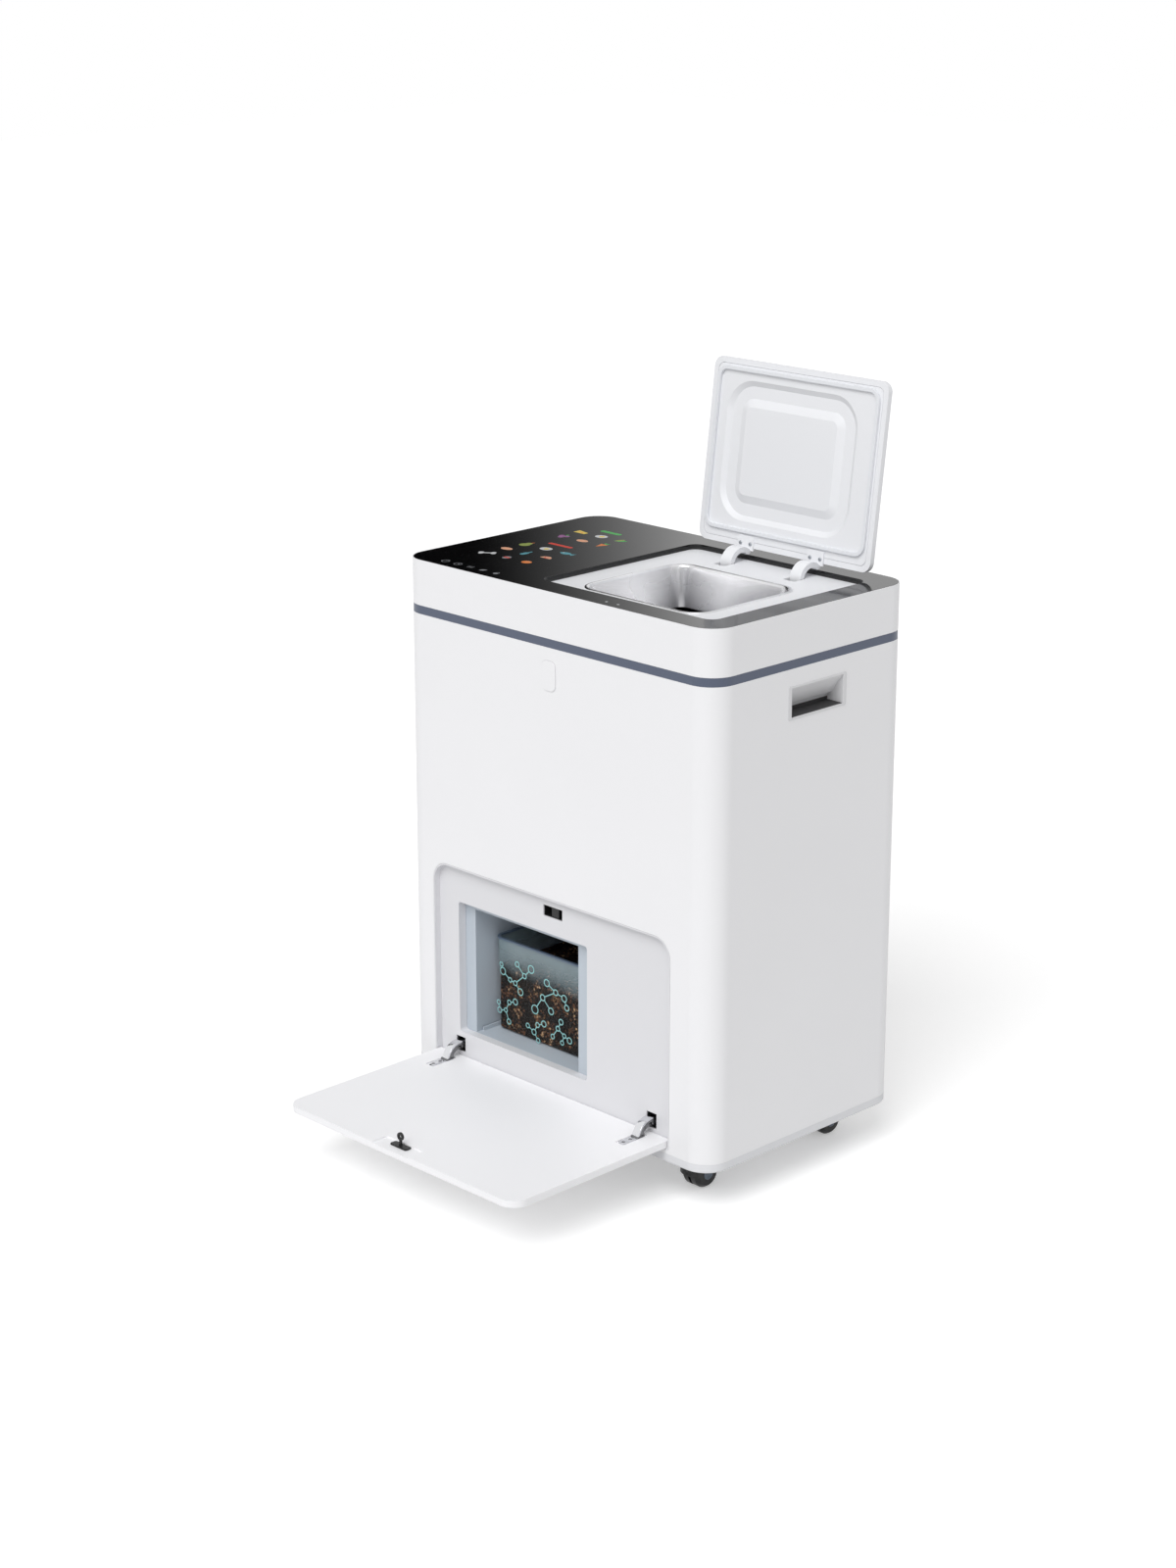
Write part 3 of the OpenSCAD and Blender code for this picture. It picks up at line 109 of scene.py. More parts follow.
class Tree:
    """A node tree with short ways to add and link its nodes."""

    def __init__(self, tree):
        self.tree = tree

    def add(self, kind, **sockets):
        """A node; each keyword names an input, with _ for a space, and gives it a value or link."""
        node = self.tree.nodes.new(kind)
        for label, value in sockets.items():
            self.feed(node.inputs[label.replace("_", " ")], value)
        return node

    def feed(self, socket, value):
        """Links a socket to another one, or sets it to a plain value."""
        if isinstance(value, bpy.types.NodeSocket):
            self.tree.links.new(value, socket)
        else:
            socket.default_value = value

    def place(self):
        """The point on the surface, in the piece's own metres."""
        return self.add("ShaderNodeTexCoord").outputs["Object"]

    def apart(self, vector):
        """The three numbers of a vector."""
        return self.add("ShaderNodeSeparateXYZ", Vector=vector).outputs

    def noise(self, scale, detail=2.0, rough=0.5, at=None):
        """Cloudy values about one half; a larger scale makes them finer."""
        return self.add("ShaderNodeTexNoise", Scale=scale, Detail=detail, Roughness=rough,
                        Vector=at or self.place()).outputs["Fac"]

    def remap(self, value, source, target=(0.0, 1.0)):
        """Carries a value from the source range to the target range, and never beyond it."""
        node = self.add("ShaderNodeMapRange", Value=value)
        for label, limit in zip(("From Min", "From Max", "To Min", "To Max"), (*source, *target)):
            self.feed(node.inputs[label], limit)
        return node.outputs["Result"]

    def maths(self, operation, first, second=0.0, kind="ShaderNodeMath"):
        """Output of a node that works on two numbers."""
        node = self.add(kind)
        node.operation = operation
        self.feed(node.inputs[0], first)
        self.feed(node.inputs[1], second)
        return node.outputs[0]

    def vectors(self, operation, first, second):
        return self.maths(operation, first, second, "ShaderNodeVectorMath")

    def mix(self, share, first, second):
        """Two colours mixed, with the given share of the second."""
        node = self.add("ShaderNodeMix")
        node.data_type = "RGBA"
        self.feed(node.inputs["Factor"], share)
        colours = {socket.name: socket for socket in node.inputs if socket.type == "RGBA"}
        self.feed(colours["A"], first)
        self.feed(colours["B"], second)
        return next(socket for socket in node.outputs if socket.type == "RGBA")

    def seen_or_mirrored(self):
        """1 on rays from the camera and on mirrored or refracted rays, 0 on light that bounces."""
        path = self.add("ShaderNodeLightPath").outputs
        first = self.maths("MAXIMUM", path["Is Camera Ray"], path["Is Glossy Ray"])
        return self.maths("MAXIMUM", first, path["Is Transmission Ray"])


class Recipe(Tree):
    """A shader node group under construction, with named inputs and outputs."""

    def __init__(self, name, inputs, outputs):
        super().__init__(bpy.data.node_groups.new(name, "ShaderNodeTree"))
        for label, kind, value in inputs:
            socket = self.tree.interface.new_socket(label, in_out="INPUT", socket_type=kind)
            socket.default_value = value
        for label, kind in outputs:
            self.tree.interface.new_socket(label, in_out="OUTPUT", socket_type=kind)
        self.given = self.add("NodeGroupInput").outputs
        self.result = self.add("NodeGroupOutput").inputs

    def give(self, label, value):
        """Feeds one of the group's outputs."""
        self.feed(self.result[label], value)


COLOUR, NUMBER, VECTOR = "NodeSocketColor", "NodeSocketFloat", "NodeSocketVector"
SKIN = [("Colour", COLOUR), ("Roughness", NUMBER), ("Height", NUMBER)]


def moulded_recipe():
    """Moulded plastic: faint cloudy tone, fine spark grain and uneven gloss."""
    r = Recipe("moulded_skin",
               [("Colour", COLOUR, (0.8, 0.8, 0.8, 1)), ("Cloud", NUMBER, 0.03),
                ("Grain Scale", NUMBER, 1400.0), ("Roughness", NUMBER, 0.4)], SKIN)
    cloud = r.remap(r.noise(6.0, 3.0), (0.3, 0.7))
    darker = r.maths("MULTIPLY", cloud, r.given["Cloud"])
    r.give("Colour", r.mix(darker, r.given["Colour"], (0.0, 0.0, 0.0, 1)))
    uneven = r.remap(r.noise(60.0), (0.3, 0.7), (-0.015, 0.015))
    r.give("Roughness", r.maths("ADD", r.given["Roughness"], uneven))
    r.give("Height", r.noise(r.given["Grain Scale"], 1.0))
    return r.tree


def brushed_recipe():
    """Brushed or rolled metal: long fine lines, set by how far the pattern is stretched."""
    r = Recipe("brushed_skin",
               [("Colour", COLOUR, (0.7, 0.7, 0.7, 1)), ("Stretch", VECTOR, (1, 1, 1)),
                ("Roughness", NUMBER, 0.3), ("Contrast", NUMBER, 0.12)], SKIN)
    lines = r.noise(900.0, 3.0, 0.7, r.vectors("MULTIPLY", r.place(), r.given["Stretch"]))
    dark = r.maths("MULTIPLY", r.remap(lines, (0.35, 0.65)), r.given["Contrast"])
    r.give("Colour", r.mix(dark, r.given["Colour"], (0.12, 0.12, 0.12, 1)))
    wear = r.remap(r.noise(11.0), (0.3, 0.7), (-0.06, 0.08))
    r.give("Roughness", r.maths("ADD", r.given["Roughness"], wear))
    r.give("Height", lines)
    return r.tree


def handled_recipe():
    """Finger marks and wiping streaks that dull a polished face."""
    r = Recipe("handled_skin", [("Roughness", NUMBER, 0.08), ("Marks", NUMBER, 0.12)],
               [("Roughness", NUMBER)])
    blots = r.remap(r.noise(22.0, 5.0, 0.6), (0.48, 0.72))
    dull = r.maths("MULTIPLY", blots, r.given["Marks"])
    r.give("Roughness", r.maths("ADD", r.given["Roughness"], dull))
    return r.tree


def crumb_recipe():
    """Loose crumbs of three tones, with painted shade darkening the gaps between them."""
    r = Recipe("crumb_skin",
               [("Dark", COLOUR, (0.02, 0.01, 0.006, 1)), ("Middle", COLOUR, (0.1, 0.05, 0.02, 1)),
                ("Light", COLOUR, (0.3, 0.18, 0.1, 1)), ("Crumb Scale", NUMBER, 300.0)],
               [("Colour", COLOUR), ("Height", NUMBER)])
    swirl = r.add("ShaderNodeTexNoise", Scale=150.0, Vector=r.place()).outputs["Color"]
    bent = r.vectors("ADD", r.place(), r.vectors("MULTIPLY", swirl, (0.006, 0.006, 0.006)))
    cells = r.add("ShaderNodeTexVoronoi", Scale=r.given["Crumb Scale"], Vector=bent).outputs
    pick = r.add("ShaderNodeSeparateColor", Color=cells["Color"]).outputs[0]
    patch = r.maths("MULTIPLY", pick, r.remap(r.noise(45.0, 3.0), (0.35, 0.65), (0.3, 1.4)))
    warm = r.mix(r.remap(patch, (0.45, 0.75)), r.given["Dark"], r.given["Middle"])
    flecks = r.mix(r.remap(patch, (0.88, 0.95)), warm, r.given["Light"])
    # Painted shade: near black in the gaps between crumbs
    gap = r.remap(cells["Distance"], (0.25, 0.6), (0.0, 0.8))
    r.give("Colour", r.mix(gap, flecks, (0.004, 0.003, 0.003, 1)))
    r.give("Height", r.maths("SUBTRACT", 1.0, cells["Distance"]))
    return r.tree


def dusty_recipe():
    """Dust and scuffs on parts near the floor or inside the cabinet."""
    r = Recipe("dusty_skin",
               [("Colour", COLOUR, (0.05, 0.05, 0.05, 1)), ("Dust", COLOUR, (0.4, 0.38, 0.35, 1)),
                ("Amount", NUMBER, 0.2), ("Roughness", NUMBER, 0.4)], SKIN)
    fine = r.noise(260.0, 5.0, 0.65)
    patch = r.remap(r.noise(14.0, 3.0), (0.35, 0.7), (0.2, 1.0))
    share = r.maths("MULTIPLY", r.maths("MULTIPLY", fine, patch), r.given["Amount"])
    r.give("Colour", r.mix(share, r.given["Colour"], r.given["Dust"]))
    r.give("Roughness", r.maths("ADD", r.given["Roughness"], share))
    r.give("Height", fine)
    return r.tree


def corner_shade_recipe():
    """Painted shade for a tapered steel hollow: its walls are painted darker with depth towards
    upright corners, and each fold is left at the light tone as a painted highlight line.
    """
    r = Recipe("hollow_skin",
               [("Light", COLOUR, (0.8, 0.8, 0.8, 1)), ("Dark", COLOUR, (0.2, 0.2, 0.2, 1)),
                ("Low Middle", VECTOR, (0, 0, 0)), ("High Middle", VECTOR, (0, 0, 1)),
                ("Low Half", VECTOR, (0.5, 0.5, 0)), ("High Half", VECTOR, (1, 1, 0))],
               [("Colour", COLOUR)])
    at, low, high, low_half, high_half = (r.apart(vector) for vector in (
        r.place(), r.given["Low Middle"], r.given["High Middle"], r.given["Low Half"],
        r.given["High Half"]))
    rise = (low["Z"], high["Z"])
    shares = []
    for axis in ("X", "Y"):
        centre = r.remap(at["Z"], rise, (low[axis], high[axis]))
        half = r.remap(at["Z"], rise, (low_half[axis], high_half[axis]))
        off = r.maths("ABSOLUTE", r.maths("SUBTRACT", at[axis], centre))
        shares.append(r.maths("DIVIDE", off, half))
    corner = r.maths("MULTIPLY", *shares)
    # Painted highlight: the fold itself keeps the light tone
    fold = r.remap(corner, (0.9, 0.93), (1.0, 0.0))
    near = r.maths("MULTIPLY", r.remap(corner, (0.1, 0.82)), fold)
    # Painted shade grows with depth below the rim
    deep = r.remap(at["Z"], rise[::-1], (0.25, 1.6))
    shade = r.maths("MINIMUM", r.maths("MULTIPLY", near, deep), 1.0)
    r.give("Colour", r.mix(shade, r.given["Light"], r.given["Dark"]))
    return r.tree


RECIPES = {
    "moulded": moulded_recipe(),
    "brushed": brushed_recipe(),
    "handled": handled_recipe(),
    "crumb": crumb_recipe(),
    "dusty": dusty_recipe(),
    "painted_funnel_shade": corner_shade_recipe(),
}

# Materials


class Finish(Tree):
    """One material: a Principled shader whose changing sockets are fed by shared groups."""

    def __init__(self, name, **constants):
        self.material = bpy.data.materials.new(name)
        self.material.use_nodes = True
        super().__init__(self.material.node_tree)
        self.shader = self.tree.nodes["Principled BSDF"].inputs
        for label, value in constants.items():
            self.feed(self.shader[label.replace("_", " ")], value)

    def use(self, recipe, **values):
        """Places a shared group and wires its colour and roughness where nothing feeds them."""
        node = self.add("ShaderNodeGroup")
        node.node_tree = RECIPES[recipe]
        for label, value in values.items():
            self.feed(node.inputs[label.replace("_", " ")], value)
        for label, socket in (("Colour", "Base Color"), ("Roughness", "Roughness")):
            if label in node.outputs and not self.shader[socket].is_linked:
                self.feed(self.shader[socket], node.outputs[label])
        return node.outputs

    def bump(self, height, distance):
        """Raises the surface by a height from a group; distance is in metres."""
        bump = self.add("ShaderNodeBump", Height=height, Distance=distance)
        self.feed(self.shader["Normal"], bump.outputs["Normal"])


def rgb(*values):
    """Linear colour from the 0 to 255 numbers that a screen shows."""
    linear = [v / 255 / 12.92 if v < 10.3 else ((v / 255 + 0.055) / 1.055) ** 2.4 for v in values]
    return (*linear, 1)


def metres(*values):
    return tuple(value * MM for value in values)


def plastic(name, colour, roughness=0.42, cloud=0.03, grain=1400.0, depth=0.000006):
    """Moulded plastic with a fine grain."""
    finish = Finish(name)
    skin = finish.use("moulded", Colour=rgb(*colour), Cloud=cloud, Grain_Scale=grain,
                      Roughness=roughness)
    finish.bump(skin["Height"], depth)
    return finish.material


def ink(name, colour):
    """Printed ink: a thin dull film, a little uneven where the screen laid it down."""
    return plastic(name, colour, 0.5, 0.12, 2600.0, 0.000004)


def dusty(name, colour, roughness, amount, metallic=0.0, depth=0.00005):
    """Painted, rubber or cast surfaces that carry a little dust."""
    finish = Finish(name, Metallic=metallic)
    skin = finish.use("dusty", Colour=rgb(*colour), Roughness=roughness, Amount=amount)
    finish.bump(skin["Height"], depth)
    return finish.material


def sheet_metal(name, colour, stretch, roughness, contrast):
    """Steel sheet whose rolling lines run along the axes that are stretched least."""
    finish = Finish(name, Metallic=1.0)
    skin = finish.use("brushed", Colour=rgb(*colour), Stretch=stretch, Roughness=roughness,
                      Contrast=contrast)
    finish.bump(skin["Height"], 0.000004)
    return finish.material


def funnel_steel():
    """Pressed stainless sheet with painted shade and a painted reflection look: its walls darken
    towards the funnel's corners.
    """
    finish = Finish("funnel_steel", Metallic=1.0)
    foot_x, foot_y = FUNNEL_FOOT
    mouth_x, mouth_y = FUNNEL_MOUTH
    # Painted shade: the light tone gives way to the dark one deep in the corners
    tone = finish.use("painted_funnel_shade", Light=rgb(240, 240, 242), Dark=rgb(112, 112, 116),
                      Low_Middle=metres(foot_x[0], foot_y[0], FUNNEL_LOW),
                      High_Middle=metres(mouth_x[0], mouth_y[0], FUNNEL_HIGH),
                      Low_Half=metres(foot_x[1] / 2, foot_y[1] / 2, 0),
                      High_Half=metres(mouth_x[1] / 2, mouth_y[1] / 2, 0))
    skin = finish.use("brushed", Colour=tone["Colour"], Stretch=ALONG_X_AND_Y, Roughness=0.24,
                      Contrast=0.04)
    finish.feed(finish.shader["Base Color"], skin["Colour"])
    finish.bump(skin["Height"], 0.000003)
    return finish.material


def polished(name, roughness, marks, **constants):
    """A polished face, dulled where hands and cloths go."""
    finish = Finish(name, **constants)
    finish.use("handled", Roughness=roughness, Marks=marks)
    return finish


def clear_plastic():
    """Clear moulding of the compost bin, fogged with damp above the heap."""
    finish = polished("clear_plastic", 0.08, 0.1, Base_Color=rgb(150, 168, 174))
    at = finish.place()
    drift = finish.maths("MULTIPLY", finish.noise(45.0, 3.0, at=at), 0.016)
    height = finish.maths("ADD", finish.apart(at)["Z"], drift)
    fog = finish.remap(height, (0.205, 0.258), (0.015, 0.62))
    fog.node.interpolation_type = "SMOOTHSTEP"
    finish.feed(finish.shader["Alpha"], fog)
    return finish.material


def compost():
    """Dry crumbs from nearly black to straw brown."""
    finish = Finish("dry_compost", Roughness=0.95, Specular_IOR_Level=0.15)
    skin = finish.use("crumb", Dark=rgb(40, 30, 24), Middle=rgb(118, 80, 56),
                      Light=rgb(196, 158, 120), Crumb_Scale=300.0)
    finish.bump(skin["Height"], 0.0012)
    return finish.material


def circuit_board():
    """Green lacquer over copper tracks."""
    finish = Finish("circuit_board", Roughness=0.35)
    upright = finish.add("ShaderNodeMapping", Vector=finish.place(),
                         Rotation=(QUARTER_TURN, 0, 0)).outputs["Vector"]
    tracks = finish.add("ShaderNodeTexBrick", Vector=upright, Color1=rgb(14, 84, 48),
                        Color2=rgb(18, 96, 56), Mortar=rgb(52, 140, 84), Scale=90.0,
                        Mortar_Size=0.03)
    finish.feed(finish.shader["Base Color"], tracks.outputs["Color"])
    return finish.material


PLASTICS = {
    "shell_white": ((241, 241, 243), 0.38, 0.012),
    "base_grey": ((226, 227, 230), 0.5),
    "band_blue": ((83, 92, 112), 0.4, 0.06),
    "carrier_black": ((24, 24, 26), 0.5, 0.1),
    "deck_white": ((236, 237, 240), 0.45, 0.012),
    "lid_white": ((238, 239, 242), 0.5, 0.012),
    "gasket_grey": ((232, 234, 238), 0.6, 0.02, 700.0, 0.00004),
    "bay_white": ((223, 223, 226), 0.5, 0.012),
    "liner_blue": ((190, 199, 208), 0.4, 0.03),
    "door_white": ((246, 246, 248), 0.42, 0.008),
    "bin_blue": ((92, 108, 128), 0.3, 0.04),
    "handle_grey": ((222, 222, 224), 0.4, 0.02),
    "heater_amber": ((196, 112, 44), 0.5, 0.1, 300.0, 0.0001),
}
DUSTY_FACES = {
    "seal_black": ((22, 22, 22), 0.7, 0.08),
    # Painted shade: the dark sheet in the grips' finger channels, with a little dust
    "grip_dark": ((48, 48, 50), 0.7, 0.12),
    "bearing_grey": ((92, 104, 118), 0.5, 0.15, 0.0, 0.0003),
    "gear_steel": ((132, 132, 134), 0.35, 0.1, 1.0),
    "motor_grey": ((156, 160, 166), 0.42, 0.12, 0.6, 0.0002),
    "filter_dark": ((52, 60, 64), 0.55, 0.12),
}
INKS = {
    "ink_red": (206, 62, 48), "ink_orange": (224, 128, 60), "ink_yellow": (222, 196, 92),
    "ink_green": (72, 168, 84), "ink_olive": (136, 150, 72), "ink_teal": (82, 150, 162),
    "ink_purple": (146, 92, 142), "ink_peach": (226, 172, 142), "ink_white": (206, 208, 210),
    "ink_grey": (132, 134, 138), "leaf_teal": (150, 206, 206),
}
ALONG_X_AND_Y, ALONG_Z = (0.06, 0.06, 1.0), (1.0, 1.0, 0.1)

FINISHES = {
    "glass_black": polished("black_glass", 0.06, 0.08, Base_Color=rgb(14, 14, 15),
                            Specular_IOR_Level=0.4).material,
    "black_gloss": polished("polished_black", 0.3, 0.2, Base_Color=rgb(16, 16, 17),
                            Specular_IOR_Level=0.35, Coat_Weight=0.15,
                            Coat_Roughness=0.08).material,
    "chrome": polished("bright_chrome", 0.08, 0.1, Base_Color=rgb(222, 223, 226),
                       Metallic=1.0).material,
    "stainless": sheet_metal("stainless", (224, 224, 226), ALONG_X_AND_Y, 0.22, 0.04),
    "zinc_steel": sheet_metal("zinc_steel", (176, 180, 186), ALONG_Z, 0.35, 0.2),
    "funnel_steel": funnel_steel(),
    "bin_clear": clear_plastic(),
    "compost": compost(),
    "board_green": circuit_board(),
}
for make, recipes in ((plastic, PLASTICS), (dusty, DUSTY_FACES)):
    FINISHES.update((name, make(name, *values)) for name, values in recipes.items())
FINISHES.update((name, ink(name, colour)) for name, colour in INKS.items())


def dress_frame():
    """Gives every CAD node the finish of its slot in the record."""
    for entry in frame["record"]["subparts"]:
        piece = nodes[entry["node"]]
        if not piece.material_slots:
            piece.data.materials.append(None)
        for place in piece.material_slots:
            place.link = "OBJECT"
            place.material = FINISHES[entry["material_slot"]]


# Camera, lights and floor

SENSOR_WIDTH, LENS = 36.0, 69.92
CAMERA_PLACE = (2.6623, -2.7393, 1.6707)
CAMERA_SWING, CAMERA_TILT = 45.415, 17.413
WORLD_LIGHT = 0.45
LAMP_TOWARDS, LAMP_STRENGTH, LAMP_SPREAD = (0.23, -0.62, 0.75), 1.85, 40
FLOOR_TONE, FLOOR_LIFT, FLOOR_REACH = 0.86, 0.36, 12
CARD_LEFT, CARD_RIGHT, CARD_LOW, CARD_HIGH = -1.6, 0.1, 0.8, 2.4
CARD_PLACE, CARD_TURN, CARD_FADE_FROM = (-0.85, 0.85, 0), 45, -0.3


def put_in_scene(name, data):
    thing = bpy.data.objects.new(name, data)
    bpy.context.scene.collection.objects.link(thing)
    return thing


def aim_camera():
    """Stands where the photograph was taken: in front, to the right and above."""
    data = bpy.data.cameras.new("studio_camera")
    data.sensor_width = SENSOR_WIDTH
    data.lens = LENS
    data.clip_end = 50
    camera = put_in_scene("studio_camera", data)
    camera.location = CAMERA_PLACE
    camera.rotation_euler = (QUARTER_TURN - math.radians(CAMERA_TILT), 0,
                             math.radians(CAMERA_SWING))
    bpy.context.scene.camera = camera


def light_room():
    """White surroundings that give little light, and one broad lamp from the front."""
    world = bpy.data.worlds.new("studio")
    world.use_nodes = True
    tree = Tree(world.node_tree)
    back = world.node_tree.nodes["Background"].inputs
    tree.feed(back["Color"], (1, 1, 1, 1))
    bright = tree.maths("MULTIPLY", tree.seen_or_mirrored(), 1 - WORLD_LIGHT)
    tree.feed(back["Strength"], tree.maths("ADD", bright, WORLD_LIGHT))
    bpy.context.scene.world = world
    data = bpy.data.lights.new("front_lamp", "SUN")
    data.energy = LAMP_STRENGTH
    data.angle = math.radians(LAMP_SPREAD)
    lamp = put_in_scene("front_lamp", data)
    lamp.rotation_mode = "QUATERNION"
    lamp.rotation_quaternion = Vector(LAMP_TOWARDS).to_track_quat("Z", "Y")


def studio_sheet(name, corners, tone, roughness):
    """A flat sheet without gloss for the studio; gives it back with its finish."""
    mesh = bpy.data.meshes.new(name)
    mesh.from_pydata(corners, [], [(0, 1, 2, 3)])
    finish = Finish(name, Base_Color=(tone, tone, tone, 1), Roughness=roughness,
                    Specular_IOR_Level=0.0)
    mesh.materials.append(finish.material)
    return put_in_scene(name, mesh), finish


def hang_dark_card():
    """A black card behind the left side that only mirrors see; it fades out to the right."""
    corners = [(CARD_LEFT, 0, CARD_LOW), (CARD_RIGHT, 0, CARD_LOW),
               (CARD_RIGHT, 0, CARD_HIGH), (CARD_LEFT, 0, CARD_HIGH)]
    card, finish = studio_sheet("dark_card", corners, 0, 1.0)
    card.location = CARD_PLACE
    card.rotation_euler = (0, 0, math.radians(CARD_TURN))
    card.visible_camera = card.visible_diffuse = False
    card.visible_transmission = card.visible_shadow = False
    across = finish.remap(finish.apart(finish.place())["X"], (CARD_FADE_FROM, CARD_RIGHT))
    clear = finish.maths("POWER", across, 2.0)
    finish.feed(finish.shader["Alpha"], finish.maths("SUBTRACT", 1.0, clear))


def lay_floor():
    """A wide pale floor that is white where no shadow falls."""
    corners = [(x * FLOOR_REACH, y * FLOOR_REACH, 0)
               for x, y in ((-1, -1), (1, -1), (1, 1), (-1, 1))]
    floor, finish = studio_sheet("studio_floor", corners, FLOOR_TONE, 0.9)
    finish.feed(finish.shader["Emission Color"], (1, 1, 1, 1))
    lift = finish.maths("MULTIPLY", finish.seen_or_mirrored(), FLOOR_LIFT)
    finish.feed(finish.shader["Emission Strength"], lift)


# Edges


def smoothing_group():
    """Geometry nodes that shade a mesh smooth except over edges sharper than an angle."""
    tree = bpy.data.node_groups.new("smooth_by_edge", "GeometryNodeTree")
    tree.interface.new_socket("Geometry", in_out="INPUT", socket_type="NodeSocketGeometry")
    limit = tree.interface.new_socket("Sharp Angle", in_out="INPUT", socket_type="NodeSocketFloat")
    tree.interface.new_socket("Geometry", in_out="OUTPUT", socket_type="NodeSocketGeometry")
    given = tree.nodes.new("NodeGroupInput").outputs
    result = tree.nodes.new("NodeGroupOutput").inputs[0]
    drop = tree.nodes.new("GeometryNodeRemoveAttribute")
    drop.inputs["Name"].default_value = "custom_normal"
    faces = tree.nodes.new("GeometryNodeSetShadeSmooth")
    faces.domain = "FACE"
    edges = tree.nodes.new("GeometryNodeSetShadeSmooth")
    edges.domain = "EDGE"
    edges.inputs["Shade Smooth"].default_value = False
    angle = tree.nodes.new("GeometryNodeInputMeshEdgeAngle")
    sharp = tree.nodes.new("FunctionNodeCompare")
    sharp.operation = "GREATER_THAN"
    for source, target in ((given["Sharp Angle"], sharp.inputs["B"]),
                           (angle.outputs["Unsigned Angle"], sharp.inputs["A"]),
                           (sharp.outputs["Result"], edges.inputs["Selection"]),
                           (given["Geometry"], drop.inputs[0]), (drop.outputs[0], faces.inputs[0]),
                           (faces.outputs[0], edges.inputs[0]), (edges.outputs[0], result)):
        tree.links.new(source, target)
    return tree, limit.identifier


SMOOTHING, SHARP_ANGLE = smoothing_group()
CREASE = 32  # degrees over which an edge stays crisp
FINE_CREASE = 12  # the same for the lid's shallow mouldings


def shade_smooth(piece, crease=CREASE):
    """Smooth shading that keeps edges sharper than the crease."""
    shading = piece.modifiers.new("shading", "NODES")
    shading.node_group = SMOOTHING
    shading[SHARP_ANGLE] = math.radians(crease)
    return piece


def even_out(piece):
    """Lets the large faces set the shading, so that flat walls look flat up to their corners."""
    even = piece.modifiers.new("even_faces", "WEIGHTED_NORMAL")
    even.keep_sharp = True


def break_edges(piece, radius):
    """Rounds sharp edges a little, as moulding and pressing leave them."""
    edge = piece.modifiers.new("broken_edges", "BEVEL")
    edge.width = radius * MM
    edge.segments = 2
    edge.limit_method = "ANGLE"
    edge.angle_limit = math.radians(40)


def soften(piece, radius, crease=CREASE):
    """Cleans a CAD node's triangles, breaks its edges to a radius and shades it smooth."""
    weld = piece.modifiers.new("weld", "WELD")
    weld.merge_threshold = 0.005 * MM
    merge = piece.modifiers.new("flat_faces", "DECIMATE")
    merge.decimate_type = "DISSOLVE"
    merge.angle_limit = math.radians(0.4)
    if radius:
        break_edges(piece, radius)
    shade_smooth(piece, crease)
    even_out(piece)


EDGE_RADII = {
    0.2: "panel_carrier",
    0.3: "body_shell base_tray rear_cover stripe_band catch_housing inner_frame trough_cover "
         "lid_hinge_brackets",
    0.4: "top_cap front_badge motor_bracket discharge_chute fan_housing caster_plates lid_inner "
         "catch_hook",
    0.5: "filter_canister power_inlet lid_shell door_striker rocker_switch",
    0.6: "glass_panel hopper_deck bin_bay_liner handle_left handle_right gate_actuator bin_tub",
    0.7: "door_bay_panel lid_arms",
    0.8: "lid_gasket bin_rim",
    1.0: "gearmotor",
    1.2: "door_panel",
}
CASTER_RADIUS = 0.6


def soften_frame():
    """Softens every CAD node; those without a radius only get smooth shading."""
    radii = {name: radius for radius, names in EDGE_RADII.items() for name in names.split()}
    for name, piece in nodes.items():
        if name.startswith(("caster_hood", "caster_wheels")):
            soften(piece, CASTER_RADIUS)
        else:
            soften(piece, radii.get(name, 0), FINE_CREASE if name == "lid_inner" else CREASE)


# Pieces made in mesh code


def add_piece(name, mesh, body, slot, finish=None, stands_for=()):
    """Puts a finished mesh into the scene, riding on a body of the frame."""
    shape = bpy.data.meshes.new(name)
    bmesh.ops.recalc_face_normals(mesh, faces=mesh.faces)
    mesh.to_mesh(shape)
    mesh.free()
    piece = put_in_scene(name, shape)
    shape.materials.append(FINISHES[finish or slot])
    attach(piece, body)
    if stands_for:
        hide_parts(*stands_for)
    return piece


def add_ring(mesh, points):
    """Vertices at points in millimetres."""
    return [mesh.verts.new(Vector(point) * MM) for point in points]


def join_rings(mesh, rings, closed=False):
    """Faces between neighbouring rings of vertices that have equal counts."""
    pairs = list(zip(rings, rings[1:])) + ([(rings[-1], rings[0])] if closed else [])
    for low, high in pairs:
        count = len(low)
        for i in range(count):
            j = (i + 1) % count
            mesh.faces.new((low[i], low[j], high[j], high[i]))


def cap_ring(mesh, ring, at):
    """Closes a ring with a fan about a point."""
    hub = mesh.verts.new(at)
    for i, corner in enumerate(ring):
        mesh.faces.new((corner, ring[(i + 1) % len(ring)], hub))


def close_solid(mesh, rings):
    """Joins rings and closes both ends with one face each."""
    join_rings(mesh, rings)
    mesh.faces.new(rings[0][::-1])
    mesh.faces.new(rings[-1])


def facing(at, axis):
    """Place whose Z axis points along axis, at a point in millimetres."""
    turn_to = Vector(axis).to_track_quat("Z", "Y").to_matrix().to_4x4()
    return Matrix.Translation(Vector(at) * MM) @ turn_to


def on_axis(place, height):
    """The point on the Z axis of place at a height."""
    return place @ Vector((0, 0, height * MM))


def ring_about(mesh, place, radii, height):
    """Vertices round the Z axis of place at a height, one for each radius."""
    step = FULL_TURN / len(radii)
    return [mesh.verts.new(place @ (Vector((radius * math.cos(i * step),
                                            radius * math.sin(i * step), height)) * MM))
            for i, radius in enumerate(radii)]


